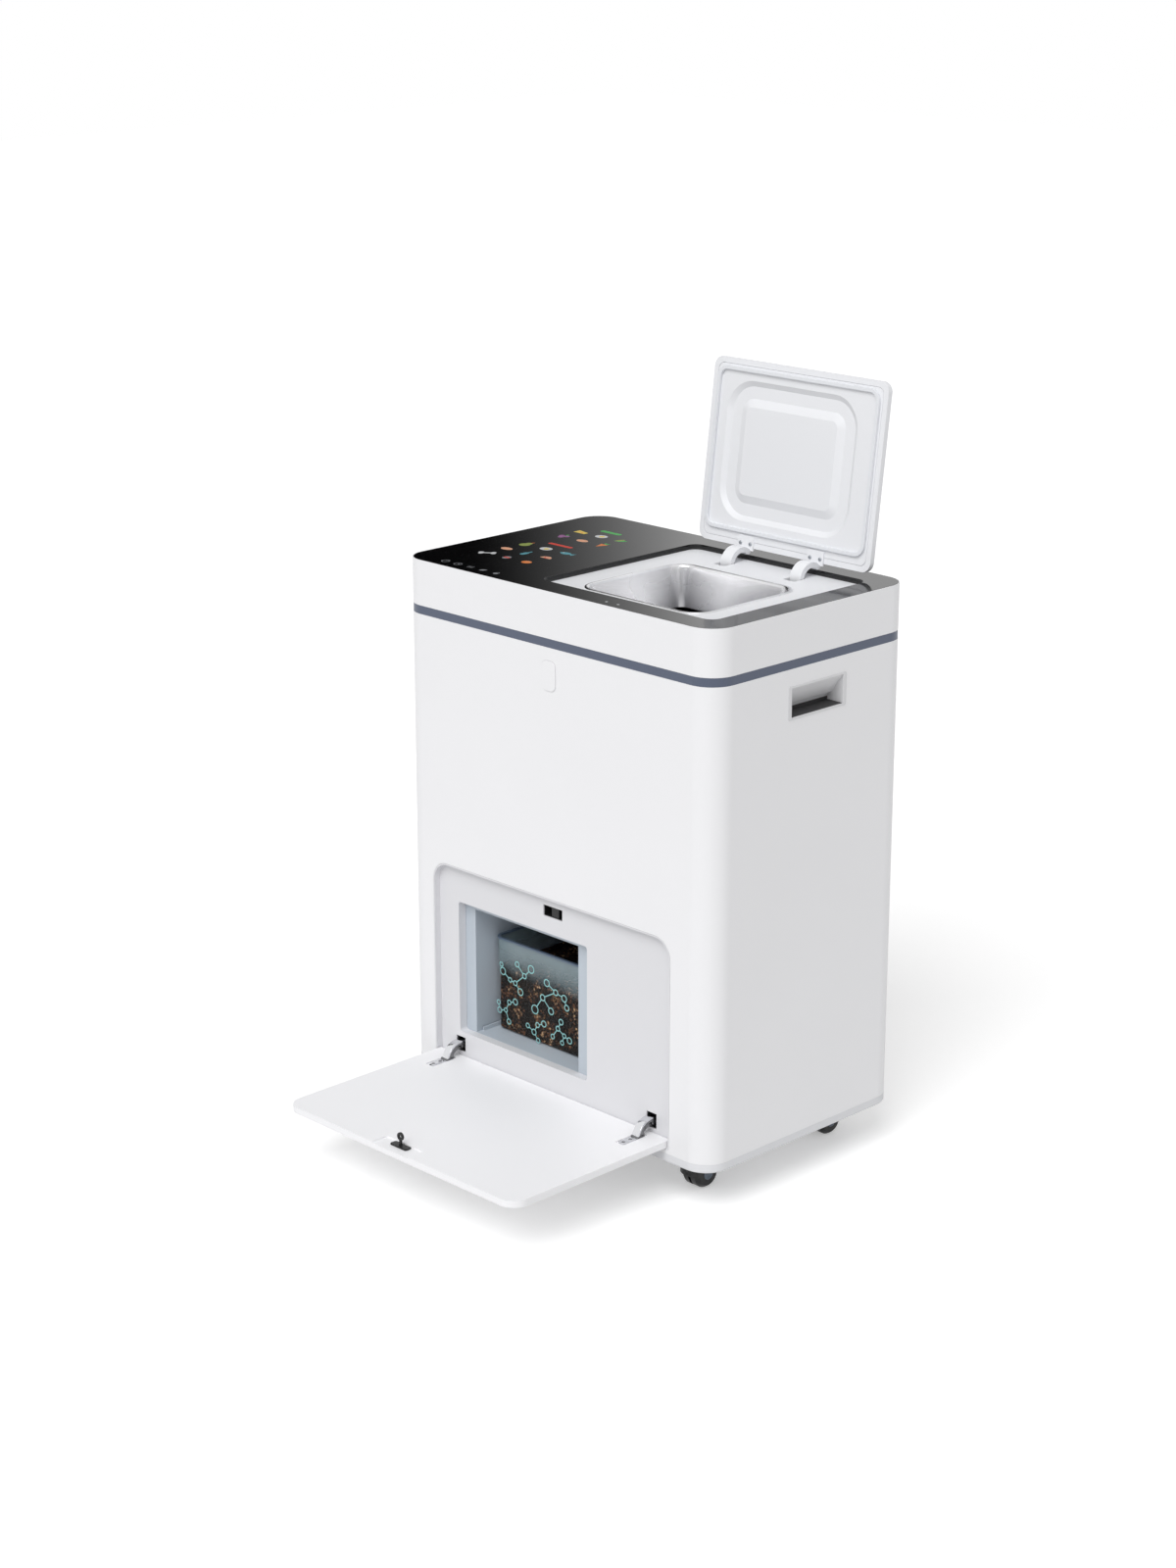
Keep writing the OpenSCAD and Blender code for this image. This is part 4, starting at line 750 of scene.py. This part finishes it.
def turn(mesh, profile, place, sides=32):
    """Turns a profile of (radius, height) pairs about the Z axis of place, closed at both ends."""
    rings = [ring_about(mesh, place, [radius] * sides, height) for radius, height in profile]
    join_rings(mesh, rings)
    for ring, (_, height) in ((rings[0], profile[0]), (rings[-1], profile[-1])):
        cap_ring(mesh, ring, on_axis(place, height))


# Screws

SCREW_SIDES = 24


def cross_radius(angle, half_width, reach):
    """Distance from the middle of a cross recess to its outline."""
    folded = abs((math.degrees(angle) + 45) % 90 - 45)
    along, across = math.cos(math.radians(folded)), math.sin(math.radians(folded))
    return reach / along if reach * across <= half_width * along else half_width / across


def add_screw(mesh, place, radius):
    """A pan head screw with a cross recess, its head standing on the XY plane of place."""
    height = 0.5 * radius
    cross = [cross_radius(FULL_TURN * i / SCREW_SIDES, 0.13 * radius, 0.52 * radius)
             for i in range(SCREW_SIDES)]
    dome = ((1, 0), (1, 0.45), (0.93, 0.75), (0.8, 0.93), (0.62, 1))
    rings = [ring_about(mesh, place, [share * radius] * SCREW_SIDES, level * height)
             for share, level in dome]
    rings.append(ring_about(mesh, place, cross, height))
    rings.append(ring_about(mesh, place, [0.75 * reach for reach in cross], 0.35 * height))
    join_rings(mesh, rings)
    cap_ring(mesh, rings[0], on_axis(place, 0))
    cap_ring(mesh, rings[-1], on_axis(place, 0.3 * height))


def add_screws(name, body, slot, radius, spots):
    """Screws of one size: each spot is a point and the way that its head faces."""
    mesh = bmesh.new()
    for at, axis in spots:
        # Each head is turned its own way, as hands leave them
        spin = Matrix.Rotation(math.radians(37 * (at[0] + at[2])), 4, "Z")
        add_screw(mesh, facing(at, axis) @ spin, radius)
    shade_smooth(add_piece(name, mesh, body, slot))


def lid_turned(y, z):
    """Where a point of the closed lid, in Y and Z, lies when the lid stands open."""
    pivot = Vector(LID_AXIS)
    angle = math.radians(-LID_SWING)
    off = Vector((y, z)) - pivot
    return (pivot.x + off.x * math.cos(angle) - off.y * math.sin(angle),
            pivot.y + off.x * math.sin(angle) + off.y * math.cos(angle))


def add_all_screws():
    """Screws of the lid's arms, the rear cover, the door's arms, the base and the casters."""
    y, z = lid_turned(94.5, 759.5)
    ahead = Vector(lid_turned(94.5, 758.5)) - Vector((y, z))
    add_screws("lid_arm_screws", "lid", "zinc_steel", 2.6,
               [((x + side, y, z), (0, ahead.x, ahead.y))
                for x in LID_ARMS_X for side in (-8.5, 8.5)])
    back = span("rear_cover", "y")[1]
    add_screws("rear_cover_screws", "cabinet", "zinc_steel", 3.2,
               [((x, back, z), (0, 1, 0)) for x in (-218, 218) for z in (112, 390, 669)]
               + [((0, back, z), (0, 1, 0)) for z in (109, 672)])
    add_screws("door_arm_screws", "front_door", "gear_steel", 2.7,
               [((x, y, 85.35), (0, 0, 1)) for x in DOOR_ARMS_X for y in (-211, -223)])
    underside = span("base_tray", "z")[0]
    add_screws("base_screws", "cabinet", "zinc_steel", 3.4,
               [((x, y, underside), (0, 0, -1)) for x in (-262, -110, 110, 262)
                for y in (-162, 162)])
    add_screws("caster_screws", "cabinet", "zinc_steel", 2.6,
               [((x + dx, y + dy, 54), (0, 0, -1)) for x in CASTERS_X for y in CASTERS_Y
                for dx in (-14.5, 14.5) for dy in (-14.5, 14.5)])


# Prints on the glass: signs of the keys and marks for kinds of food


def circle(radius, sides=28, at=(0, 0), squash=1.0, start=0.0, sweep=FULL_TURN):
    """Outline of a disc or of a part of one."""
    count = sides if sweep == FULL_TURN else sides + 1
    return [(at[0] + radius * math.cos(start + sweep * i / sides),
             at[1] + squash * radius * math.sin(start + sweep * i / sides)) for i in range(count)]


def arc_band(radius, width, start, sweep, at=(0, 0), sides=20):
    """Outline of a curved line; a hair short of a full turn, so that its ends stay apart."""
    outer, inner = (circle(radius + side * width / 2, sides, at, 1.0, start, sweep * 0.9999)
                    for side in (1, -1))
    return outer + inner[::-1]


def turned_flat(shape, angle, at):
    """An outline turned about its own zero and moved to a point."""
    c, s = math.cos(angle), math.sin(angle)
    return [(at[0] + x * c - y * s, at[1] + x * s + y * c) for x, y in shape]


def leaf(reach, width, angle=0.0, at=(0, 0), sides=10):
    """Outline of a pointed leaf that starts at a point and grows along an angle."""
    edge = [(reach * i / sides, width / 2 * math.sin(math.pi * i / sides))
            for i in range(sides + 1)]
    return turned_flat(edge + [(x, -y) for x, y in edge[-2:0:-1]], angle, at)


def bar(reach, width, angle=0.0, at=(0, 0)):
    """Outline of a line with round ends, middled on a point."""
    half = (reach - width) / 2
    ends = [circle(width / 2, 8, (side * half, 0), 1.0, -side * QUARTER_TURN, HALF_TURN)
            for side in (1, -1)]
    return turned_flat(ends[0] + ends[1], angle, at)


def food_marks():
    """Simple marks for kinds of food, each a list of ink and outline about its own zero."""
    up = QUARTER_TURN
    return {
        "pear": [("ink_olive", circle(4.6, at=(0, -1.8))), ("ink_olive", circle(2.9, at=(0, 2.8))),
                 ("ink_orange", bar(3.2, 0.9, 1.2, (0.6, 6.4)))],
        "fish": [("ink_teal", leaf(13, 6.6, 0, (-6.5, 0))),
                 ("ink_teal", [(4.6, 0), (8.4, 3.4), (8.4, -3.4)]),
                 ("ink_white", circle(0.8, 12, (-3.4, 0.8)))],
        "bread": [("ink_peach", circle(5.6, squash=0.62))]
                 + [("ink_orange", bar(4.4, 0.8, 1.0, (x, 0))) for x in (-2, 1.6)],
        "egg": [("ink_white", circle(5.6, squash=0.8)), ("ink_yellow", circle(2.4, at=(0.6, 0)))],
        "carrot": [("ink_orange", [(-1, -6.4), (3.4, 3.2), (-3.8, 3.2)])]
                  + [("ink_green", leaf(4.6, 2, up + lean, (-0.2, 3.2))) for lean in (-0.5, 0.5)],
        "berries": [("ink_purple", circle(2.5, at=at)) for at in ((-2.6, 1.6), (2.4, 2), (0, -2.2))]
                   + [("ink_green", leaf(4, 2, up, (0, 3.4)))],
        "cheese": [("ink_yellow", [(-6, -3.4), (6, -3.4), (6, 1.2), (-6, 3.8)]),
                   ("ink_orange", circle(1.1, 12, (1.5, -1.2))),
                   ("ink_orange", circle(0.9, 12, (-3, 0.6)))],
        "greens": [("ink_green", leaf(11, 5, 0.5, (-5, -3))),
                   ("ink_olive", leaf(10, 4, 1.2, (-3.6, -4)))],
        "bone": [("ink_white", bar(10, 2.4, 0.6))]
                + [("ink_white", circle(2.1, 14, (end * x, end * y)))
                   for end in (1, -1) for x, y in ((3.4, 3.8), (5.0, 1.6))],
        "shell": [("ink_peach", circle(5.4, 20, (0, -1.5), 1.0, 0, HALF_TURN)),
                  ("ink_red", bar(5.0, 0.7, up, (0, 0.6)))]
                 + [("ink_red", bar(4.6, 0.7, up - side * 0.6, (side * 1.6, 0.4)))
                    for side in (1, -1)],
        "can": [("ink_grey", bar(8, 6.4, up)), ("ink_red", bar(6.4, 2.6, 0))],
        "bottle": [("ink_teal", bar(8.6, 4.6, up, (0, -1.8))),
                   ("ink_teal", bar(6, 1.8, up, (0, 3.6)))],
        "nut": [("ink_orange", circle(4.4, squash=0.86)),
                ("ink_peach", arc_band(2.6, 0.7, 0.4, 2.4))],
    }


# Rows of food on the glass: what may go in, and below the red bar what may not
FOOD_COLUMNS = (-212, -174.5, -137)
FOOD_ROWS = {82: ("cheese", "egg", "greens"), 46: ("berries", "bread", "carrot"),
             -21: ("pear", "egg", "fish"), -57: ("bread", "bottle", "shell"),
             -92: ("bone", "can", "nut")}
FOOD_SCALE = 1.7
KEY_COLUMNS, KEY_ROW, KEY_SCALE = (-216, -192, -168, -144, -119), -162, 1.15
LAMP_COLUMNS, LAMP_ROW = (86, 106), -168


def key_signs():
    """Signs over the five touch keys: start, time, heat, leaf and lock."""
    up = QUARTER_TURN
    return [
        [("ink_grey", arc_band(4.6, 1.0, up + 0.45, FULL_TURN - 0.9)),
         ("ink_grey", bar(5.4, 1.0, up, (0, 3.4)))],
        [("ink_grey", arc_band(4.6, 0.9, 0, FULL_TURN)), ("ink_grey", bar(3.6, 1.0, up, (0, 1.4))),
         ("ink_grey", bar(3.2, 1.0, 0, (1.2, -0.2)))],
        [("ink_grey", bar(6.6, 1.0, up, (x, 0))) for x in (-3, 0, 3)],
        [("ink_grey", leaf(10, 5.4, 0.8, (-3.6, -3.8)))],
        [("ink_grey", bar(6.8, 5.2, 0, (0, -1.4))),
         ("ink_grey", arc_band(2.3, 0.9, 0, HALF_TURN, (0, 1.2)))],
    ]


def print_flat(name, body, slot, thickness, marks, lift):
    """Lays marks down as thin films, one piece for each ink; lift turns a flat point into place.

    A later mark is a little thicker than the one before, so that it lies over it.
    """
    inks = {}
    for order, (tint, outline) in enumerate(marks):
        inks.setdefault(tint, []).append((order, outline))
    for tint, outlines in inks.items():
        mesh = bmesh.new()
        for order, outline in outlines:
            top = thickness * (1 + 0.02 * (order % 12))
            close_solid(mesh, [add_ring(mesh, [lift(x, y, height) for x, y in outline])
                               for height in (0, top)])
        add_piece(f"{name}_{tint}", mesh, body, slot, tint)


def print_glass():
    """Food marks under their two coloured bars, key signs and two lamps."""
    marks = [("ink_green", bar(38, 8, 0, (-181, 107))), ("ink_red", bar(44, 7, 0, (-175, 6)))]

    def place(shape, x, y, grow):
        marks.extend((tint, [(x + grow * px, y + grow * py) for px, py in outline])
                     for tint, outline in shape)

    foods = food_marks()
    for y, names in FOOD_ROWS.items():
        for x, food in zip(FOOD_COLUMNS, names):
            place(foods[food], x, y, FOOD_SCALE)
    for x, sign in zip(KEY_COLUMNS, key_signs()):
        place(sign, x, KEY_ROW, KEY_SCALE)
    marks += [("ink_white", circle(1.8, 16, (x, LAMP_ROW))) for x in LAMP_COLUMNS]
    print_flat("glass_print", "cabinet", "glass_black", 0.04, marks,
               lambda x, y, height: (x, y, GLASS_TOP + height))


# Rings on the bin, as (x, z, radius), and the pairs of rings that a stalk joins
RING_CLUSTERS = [
    ([(-151, 214, 3), (-148, 205, 5), (-134, 196, 3.2), (-124, 194, 3.4), (-106, 209, 3.6),
      (-93, 222, 5.4), (-120, 222, 3.6), (-114, 184, 4.8)],
     [(0, 1), (1, 2), (2, 3), (3, 4), (4, 5), (4, 6), (3, 7)]),
    ([(-63, 211, 4.8), (-46, 202, 4), (-30, 198, 4.6), (-25, 186, 4), (-71, 188, 4.2),
      (-86, 167, 6), (-55, 173, 4.6)],
     [(0, 1), (1, 2), (2, 3), (1, 4), (4, 5), (4, 6)]),
    ([(-157, 158, 3), (-155, 147, 3.8), (-143, 150, 3), (-136, 163, 3.2), (-124, 167, 4.2),
      (-137, 135, 3.6)],
     [(0, 1), (1, 2), (2, 3), (3, 4), (2, 5)]),
    ([(-100, 140, 3.2), (-88, 134, 4), (-81, 146, 3.4), (-69, 151, 4.2), (-80, 124, 3.2)],
     [(0, 1), (1, 2), (2, 3), (1, 4)]),
    ([(-36, 163, 3.8), (-42, 152, 3.4), (-52, 138, 3.2), (-30, 145, 3), (-20, 141, 4.2),
      (-34, 134, 3)],
     [(0, 1), (1, 2), (1, 3), (3, 4), (3, 5)]),
]
RING_WIDTH, STALK_WIDTH = 1.4, 1.3


def stalk(first, second):
    """Outline of the line between two rings, or None where they nearly touch."""
    (ax, az, ar), (bx, bz, br) = first, second
    reach, angle = math.hypot(bx - ax, bz - az), math.atan2(bz - az, bx - ax)
    free = reach - ar - br
    if free <= 1:
        return None
    share = (ar + free / 2) / reach
    return bar(free + RING_WIDTH, STALK_WIDTH, angle,
               (ax + share * (bx - ax), az + share * (bz - az)))


def print_bin():
    """Small rings on stalks, as in a drawing of molecules, on the front of the bin."""
    outlines = []
    for rings, joined in RING_CLUSTERS:
        outlines += [arc_band(radius, RING_WIDTH, 0, FULL_TURN, (x, z), 24)
                     for x, z, radius in rings]
        outlines += [stalk(rings[first], rings[second]) for first, second in joined]
    print_flat("bin_print", "compost_bin", "bin_clear", 0.05,
               [("leaf_teal", outline) for outline in outlines if outline],
               lambda x, z, height: (x, BIN_FRONT - height, z))


# Funnel, compost and wheels


def rounded_outline(centre, width, depth, radius, grow, height, steps=12):
    """Points of a rounded rectangle at a height, grown outwards."""
    points = []
    for quarter, (sx, sy) in enumerate(((1, 1), (-1, 1), (-1, -1), (1, -1))):
        for i in range(steps + 1):
            a = QUARTER_TURN * (quarter + i / steps)
            points.append((centre[0] + sx * (width / 2 - radius) + (radius + grow) * math.cos(a),
                           centre[1] + sy * (depth / 2 - radius) + (radius + grow) * math.sin(a),
                           height))
    return points


def funnel_row(z, grow):
    """Outline of the funnel at a height; its corners open out near the mouth."""
    share = min(max((z - FUNNEL_LOW) / (FUNNEL_HIGH - FUNNEL_LOW), 0), 1)
    (x, width), (y, depth) = ([low + (high - low) * share for low, high in zip(foot, mouth)]
                              for foot, mouth in zip(FUNNEL_FOOT, FUNNEL_MOUTH))
    corner = 5 + 20 * min(max((z - 680) / 75, 0), 1) ** 1.3
    return rounded_outline((x, y), width, depth, corner, grow, z)


def add_funnel():
    """Pressed steel funnel with a rolled rim that lies on the deck."""
    thickness = 1.2
    foot = span("hopper_funnel", "z")[0]
    wall_top, steps = FUNNEL_HIGH - 2, 24
    wall = [FUNNEL_LOW + (wall_top - FUNNEL_LOW) * i / steps for i in range(steps + 1)]
    # Heights over the deck and reach from the mouth, out over the roll and back under it
    roll = [(-1.2, 0.15), (-0.2, 0.7), (0.6, 1.5), (1.1, 2.5), (1.3, 3.5), (1.1, 4.5), (0.7, 5.3),
            (0.3, 5.9), (0.1, RIM_REACH), (0.1, 5.2), (0.1, 1.6)]
    section = [(foot, 0)] + [(z, 0) for z in wall]
    section += [(FUNNEL_HIGH + over, reach) for over, reach in roll]
    section += [(z, thickness) for z in wall[::-1]] + [(foot, thickness)]
    mesh = bmesh.new()
    join_rings(mesh, [add_ring(mesh, funnel_row(z, grow)) for z, grow in section], closed=True)
    sheet = add_piece("funnel_sheet", mesh, "cabinet", "stainless", "funnel_steel",
                      ["hopper_funnel"])
    even_out(shade_smooth(sheet))


HEAP_LEVEL = 209.5
LUMP_HEIGHT = 1.1
MOUND_HEIGHT, MOUND_AT, MOUND_SPREAD = 2.5, (-0.071, -0.02), 0.004


def add_compost():
    """A loose heap: a fine grid whose top rises and falls and whose sides lie against the bin."""
    chance = random.Random(3)
    waves = [(chance.uniform(20, 160), chance.uniform(20, 160), chance.uniform(0, 6),
              chance.uniform(0.4, 1.0)) for _ in range(14)]

    def top(x, y):
        x, y = x * MM, y * MM
        lumps = sum(size * math.sin(x * fx + y * fy + shift) for fx, fy, shift, size in waves)
        away = (x - MOUND_AT[0]) ** 2 + (y - MOUND_AT[1]) ** 2
        return HEAP_LEVEL + LUMP_HEIGHT * lumps + MOUND_HEIGHT * math.exp(-away / MOUND_SPREAD)

    cx, cy = middle("compost_fill", "x"), middle("compost_fill", "y")
    floor = span("compost_fill", "z")[0]
    side = rounded_outline((cx, cy), length("compost_fill", "x"), length("compost_fill", "y"),
                           9.2, 0, 0)
    mesh = bmesh.new()
    rings = [add_ring(mesh, [(x, y, z) for x, y, _ in side]) for z in (floor, 140, 160, 180, 200)]
    steps = 30
    for share in (1 - i / steps for i in range(steps)):
        inner = [(cx + (x - cx) * share, cy + (y - cy) * share) for x, y, _ in side]
        rings.append(add_ring(mesh, [(x, y, top(x, y)) for x, y in inner]))
    join_rings(mesh, rings)
    cap_ring(mesh, rings[0], Vector((cx, cy, floor)) * MM)
    cap_ring(mesh, rings[-1], Vector((cx, cy, 210)) * MM)
    shade_smooth(add_piece("compost_heap", mesh, "compost_bin", "compost",
                           stands_for=["compost_fill"]))


def add_hub_caps():
    """Domed caps over the wheels' axles, sunk a little into the wheels."""
    dome = [(8.2, -0.2), (8.2, 0.5), (7.6, 1.0), (5.0, 1.25), (4.4, 0.7), (2.2, 0.7)]
    for corner in ("front_left", "front_right", "rear_left", "rear_right"):
        wheels = f"caster_wheels_{corner}"
        x, y, z = (middle(wheels, axis) for axis in "xyz")
        out = length(wheels, "x") / 2 - 0.1
        mesh = bmesh.new()
        for face in (-1, 1):
            turn(mesh, dome, facing((x + face * out, y, z), (face, 0, 0)))
        shade_smooth(add_piece(f"hub_caps_{corner}", mesh, f"wheels_{corner}", "bearing_grey"))


# Door arms, badge and grips


def add_block(mesh, low, high):
    """A box between two corners."""
    (x0, x1), (y0, y1) = zip(low[:2], high[:2])
    close_solid(mesh, [add_ring(mesh, [(x0, y0, z), (x1, y0, z), (x1, y1, z), (x0, y1, z)])
                       for z in (low[2], high[2])])


def add_curved_bar(mesh, sides, radii, angles, steps=22):
    """A bar bent round the door's hinge: its sides in X, its radii and its angles from the back."""
    section = [(sides[0], radii[0]), (sides[1], radii[0]), (sides[1], radii[1]),
               (sides[0], radii[1])]
    rings = []
    for i in range(steps + 1):
        degrees = angles[0] + (angles[1] - angles[0]) * i / steps
        rings.append(add_ring(mesh, [about_door(x, r, degrees) for x, r in section]))
    close_solid(mesh, rings)


def about_door(x, radius, degrees):
    """The point at a radius and an angle round the door's hinge."""
    a = math.radians(degrees)
    return (x, DOOR_AXIS[0] + radius * math.cos(a), DOOR_AXIS[1] + radius * math.sin(a))


def add_lobed_plate(mesh, x, ends, levels):
    """A foot plate whose edge swells round each of its three fixing places."""
    steps = 24
    side = []
    for i in range(steps + 1):
        share = i / steps
        swell = 5.2 + 1.9 * (0.5 - 0.5 * math.cos(3 * FULL_TURN * share))
        end = min(1.0, 6 * share, 6 * (1 - share))
        half = swell * math.sqrt(max(1 - (1 - end) ** 2, 0.05))
        side.append((half, ends[0] + (ends[1] - ends[0]) * share))
    outline = [(x + half, y) for half, y in side] + [(x - half, y) for half, y in side[::-1]]
    close_solid(mesh, [add_ring(mesh, [(px, py, z) for px, py in outline]) for z in levels])


def add_door_arms():
    """Hinge arms of the door: a broad strap over a narrow link, riveted, on lobed foot plates."""
    strap, links = bmesh.new(), bmesh.new()
    reach, shank = 5.45, 3.4
    rivet = [(2.4, -reach), (2.9, 0.4 - reach), (2.9, -shank), (1.9, 0.2 - shank)]
    rivet += [(radius, -height) for radius, height in rivet[::-1]]
    for x in DOOR_ARMS_X:
        add_curved_bar(strap, (x - 5.5, x + 5.5), (22.6, 25.4), (60, 171))
        for side in (-1, 1):
            flange = sorted((x + side * 3.7, x + side * 5.5))
            add_curved_bar(links, flange, (19.6, 22.8), (62, 169))
        add_curved_bar(links, (x - 2.6, x + 2.6), (13.1, 16.4), (60, 163))
        for degrees in (78, 116, 152):
            turn(links, rivet, facing(about_door(x, 18.2, degrees), (1, 0, 0)), 20)
        add_lobed_plate(strap, x, (-230.0, -187.8), (84.6, 86.4))
        add_block(links, (x - 6.6, -203.6, 86.2), (x + 6.6, -191.2, 88.0))
    for piece in (add_piece("door_arm_straps", strap, "front_door", "chrome",
                            stands_for=["door_arms"]),
                  add_piece("door_arm_links", links, "front_door", "gear_steel")):
        break_edges(piece, 0.45)
        shade_smooth(piece)


def paint_badge_shadow_line():
    """A thin grey ring round the badge on the front: a painted shadow line for its seam."""
    wall, proud, near, far = span("front_badge", "y")[1], 0.2, 0.05, 0.9
    flat_size = length("front_badge", "x"), length("front_badge", "z")
    centre = middle("front_badge", "x"), middle("front_badge", "z")
    mesh = bmesh.new()
    rings = []
    for grow, y in ((near, wall), (near, wall - proud), (far, wall - proud), (far, wall)):
        flat = rounded_outline(centre, *flat_size, 8, grow, y, 8)
        rings.append(add_ring(mesh, [(x, depth, z) for x, z, depth in flat]))
    join_rings(mesh, rings, closed=True)
    # Painted shadow: a grey film ring in place of the seam's shade
    add_piece("badge_shadow_ring", mesh, "cabinet", "handle_grey")


def lay_grip_shade():
    """A dark sheet in the finger channel of each grip, on its floor and the foot of its back:
    painted shade where the channel is deep.
    """
    gap, sheet, rise = 0.05, 0.4, 4.7
    back, front = span("handle_right", "x")
    near, far = inset("handle_right", "y", 6 + gap)
    back, front, floor = back + 2 + gap, front - 1.4, span("handle_right", "z")[0] + 3 + gap
    outline = [(front, floor), (back, floor), (back, floor + rise), (back + sheet, floor + rise),
               (back + sheet, floor + sheet), (front, floor + sheet)]
    for name, side in (("left", -1), ("right", 1)):
        mesh = bmesh.new()
        ends = [add_ring(mesh, [(side * x, y, z) for x, z in outline]) for y in (near, far)]
        join_rings(mesh, ends)
        for end in ends:
            for corners in ((0, 1, 4, 5), (1, 2, 3, 4)):
                mesh.faces.new([end[i] for i in corners])
        shade_smooth(add_piece(f"grip_shade_sheet_{name}", mesh, "cabinet", "seal_black", "grip_dark"))


aim_camera()
light_room()
hang_dark_card()
lay_floor()
dress_frame()
soften_frame()
add_all_screws()
print_glass()
print_bin()
add_funnel()
add_compost()
add_hub_caps()
lay_grip_shade()
add_door_arms()
paint_badge_shadow_line()

view = bpy.context.scene.view_settings
view.view_transform = "Standard"
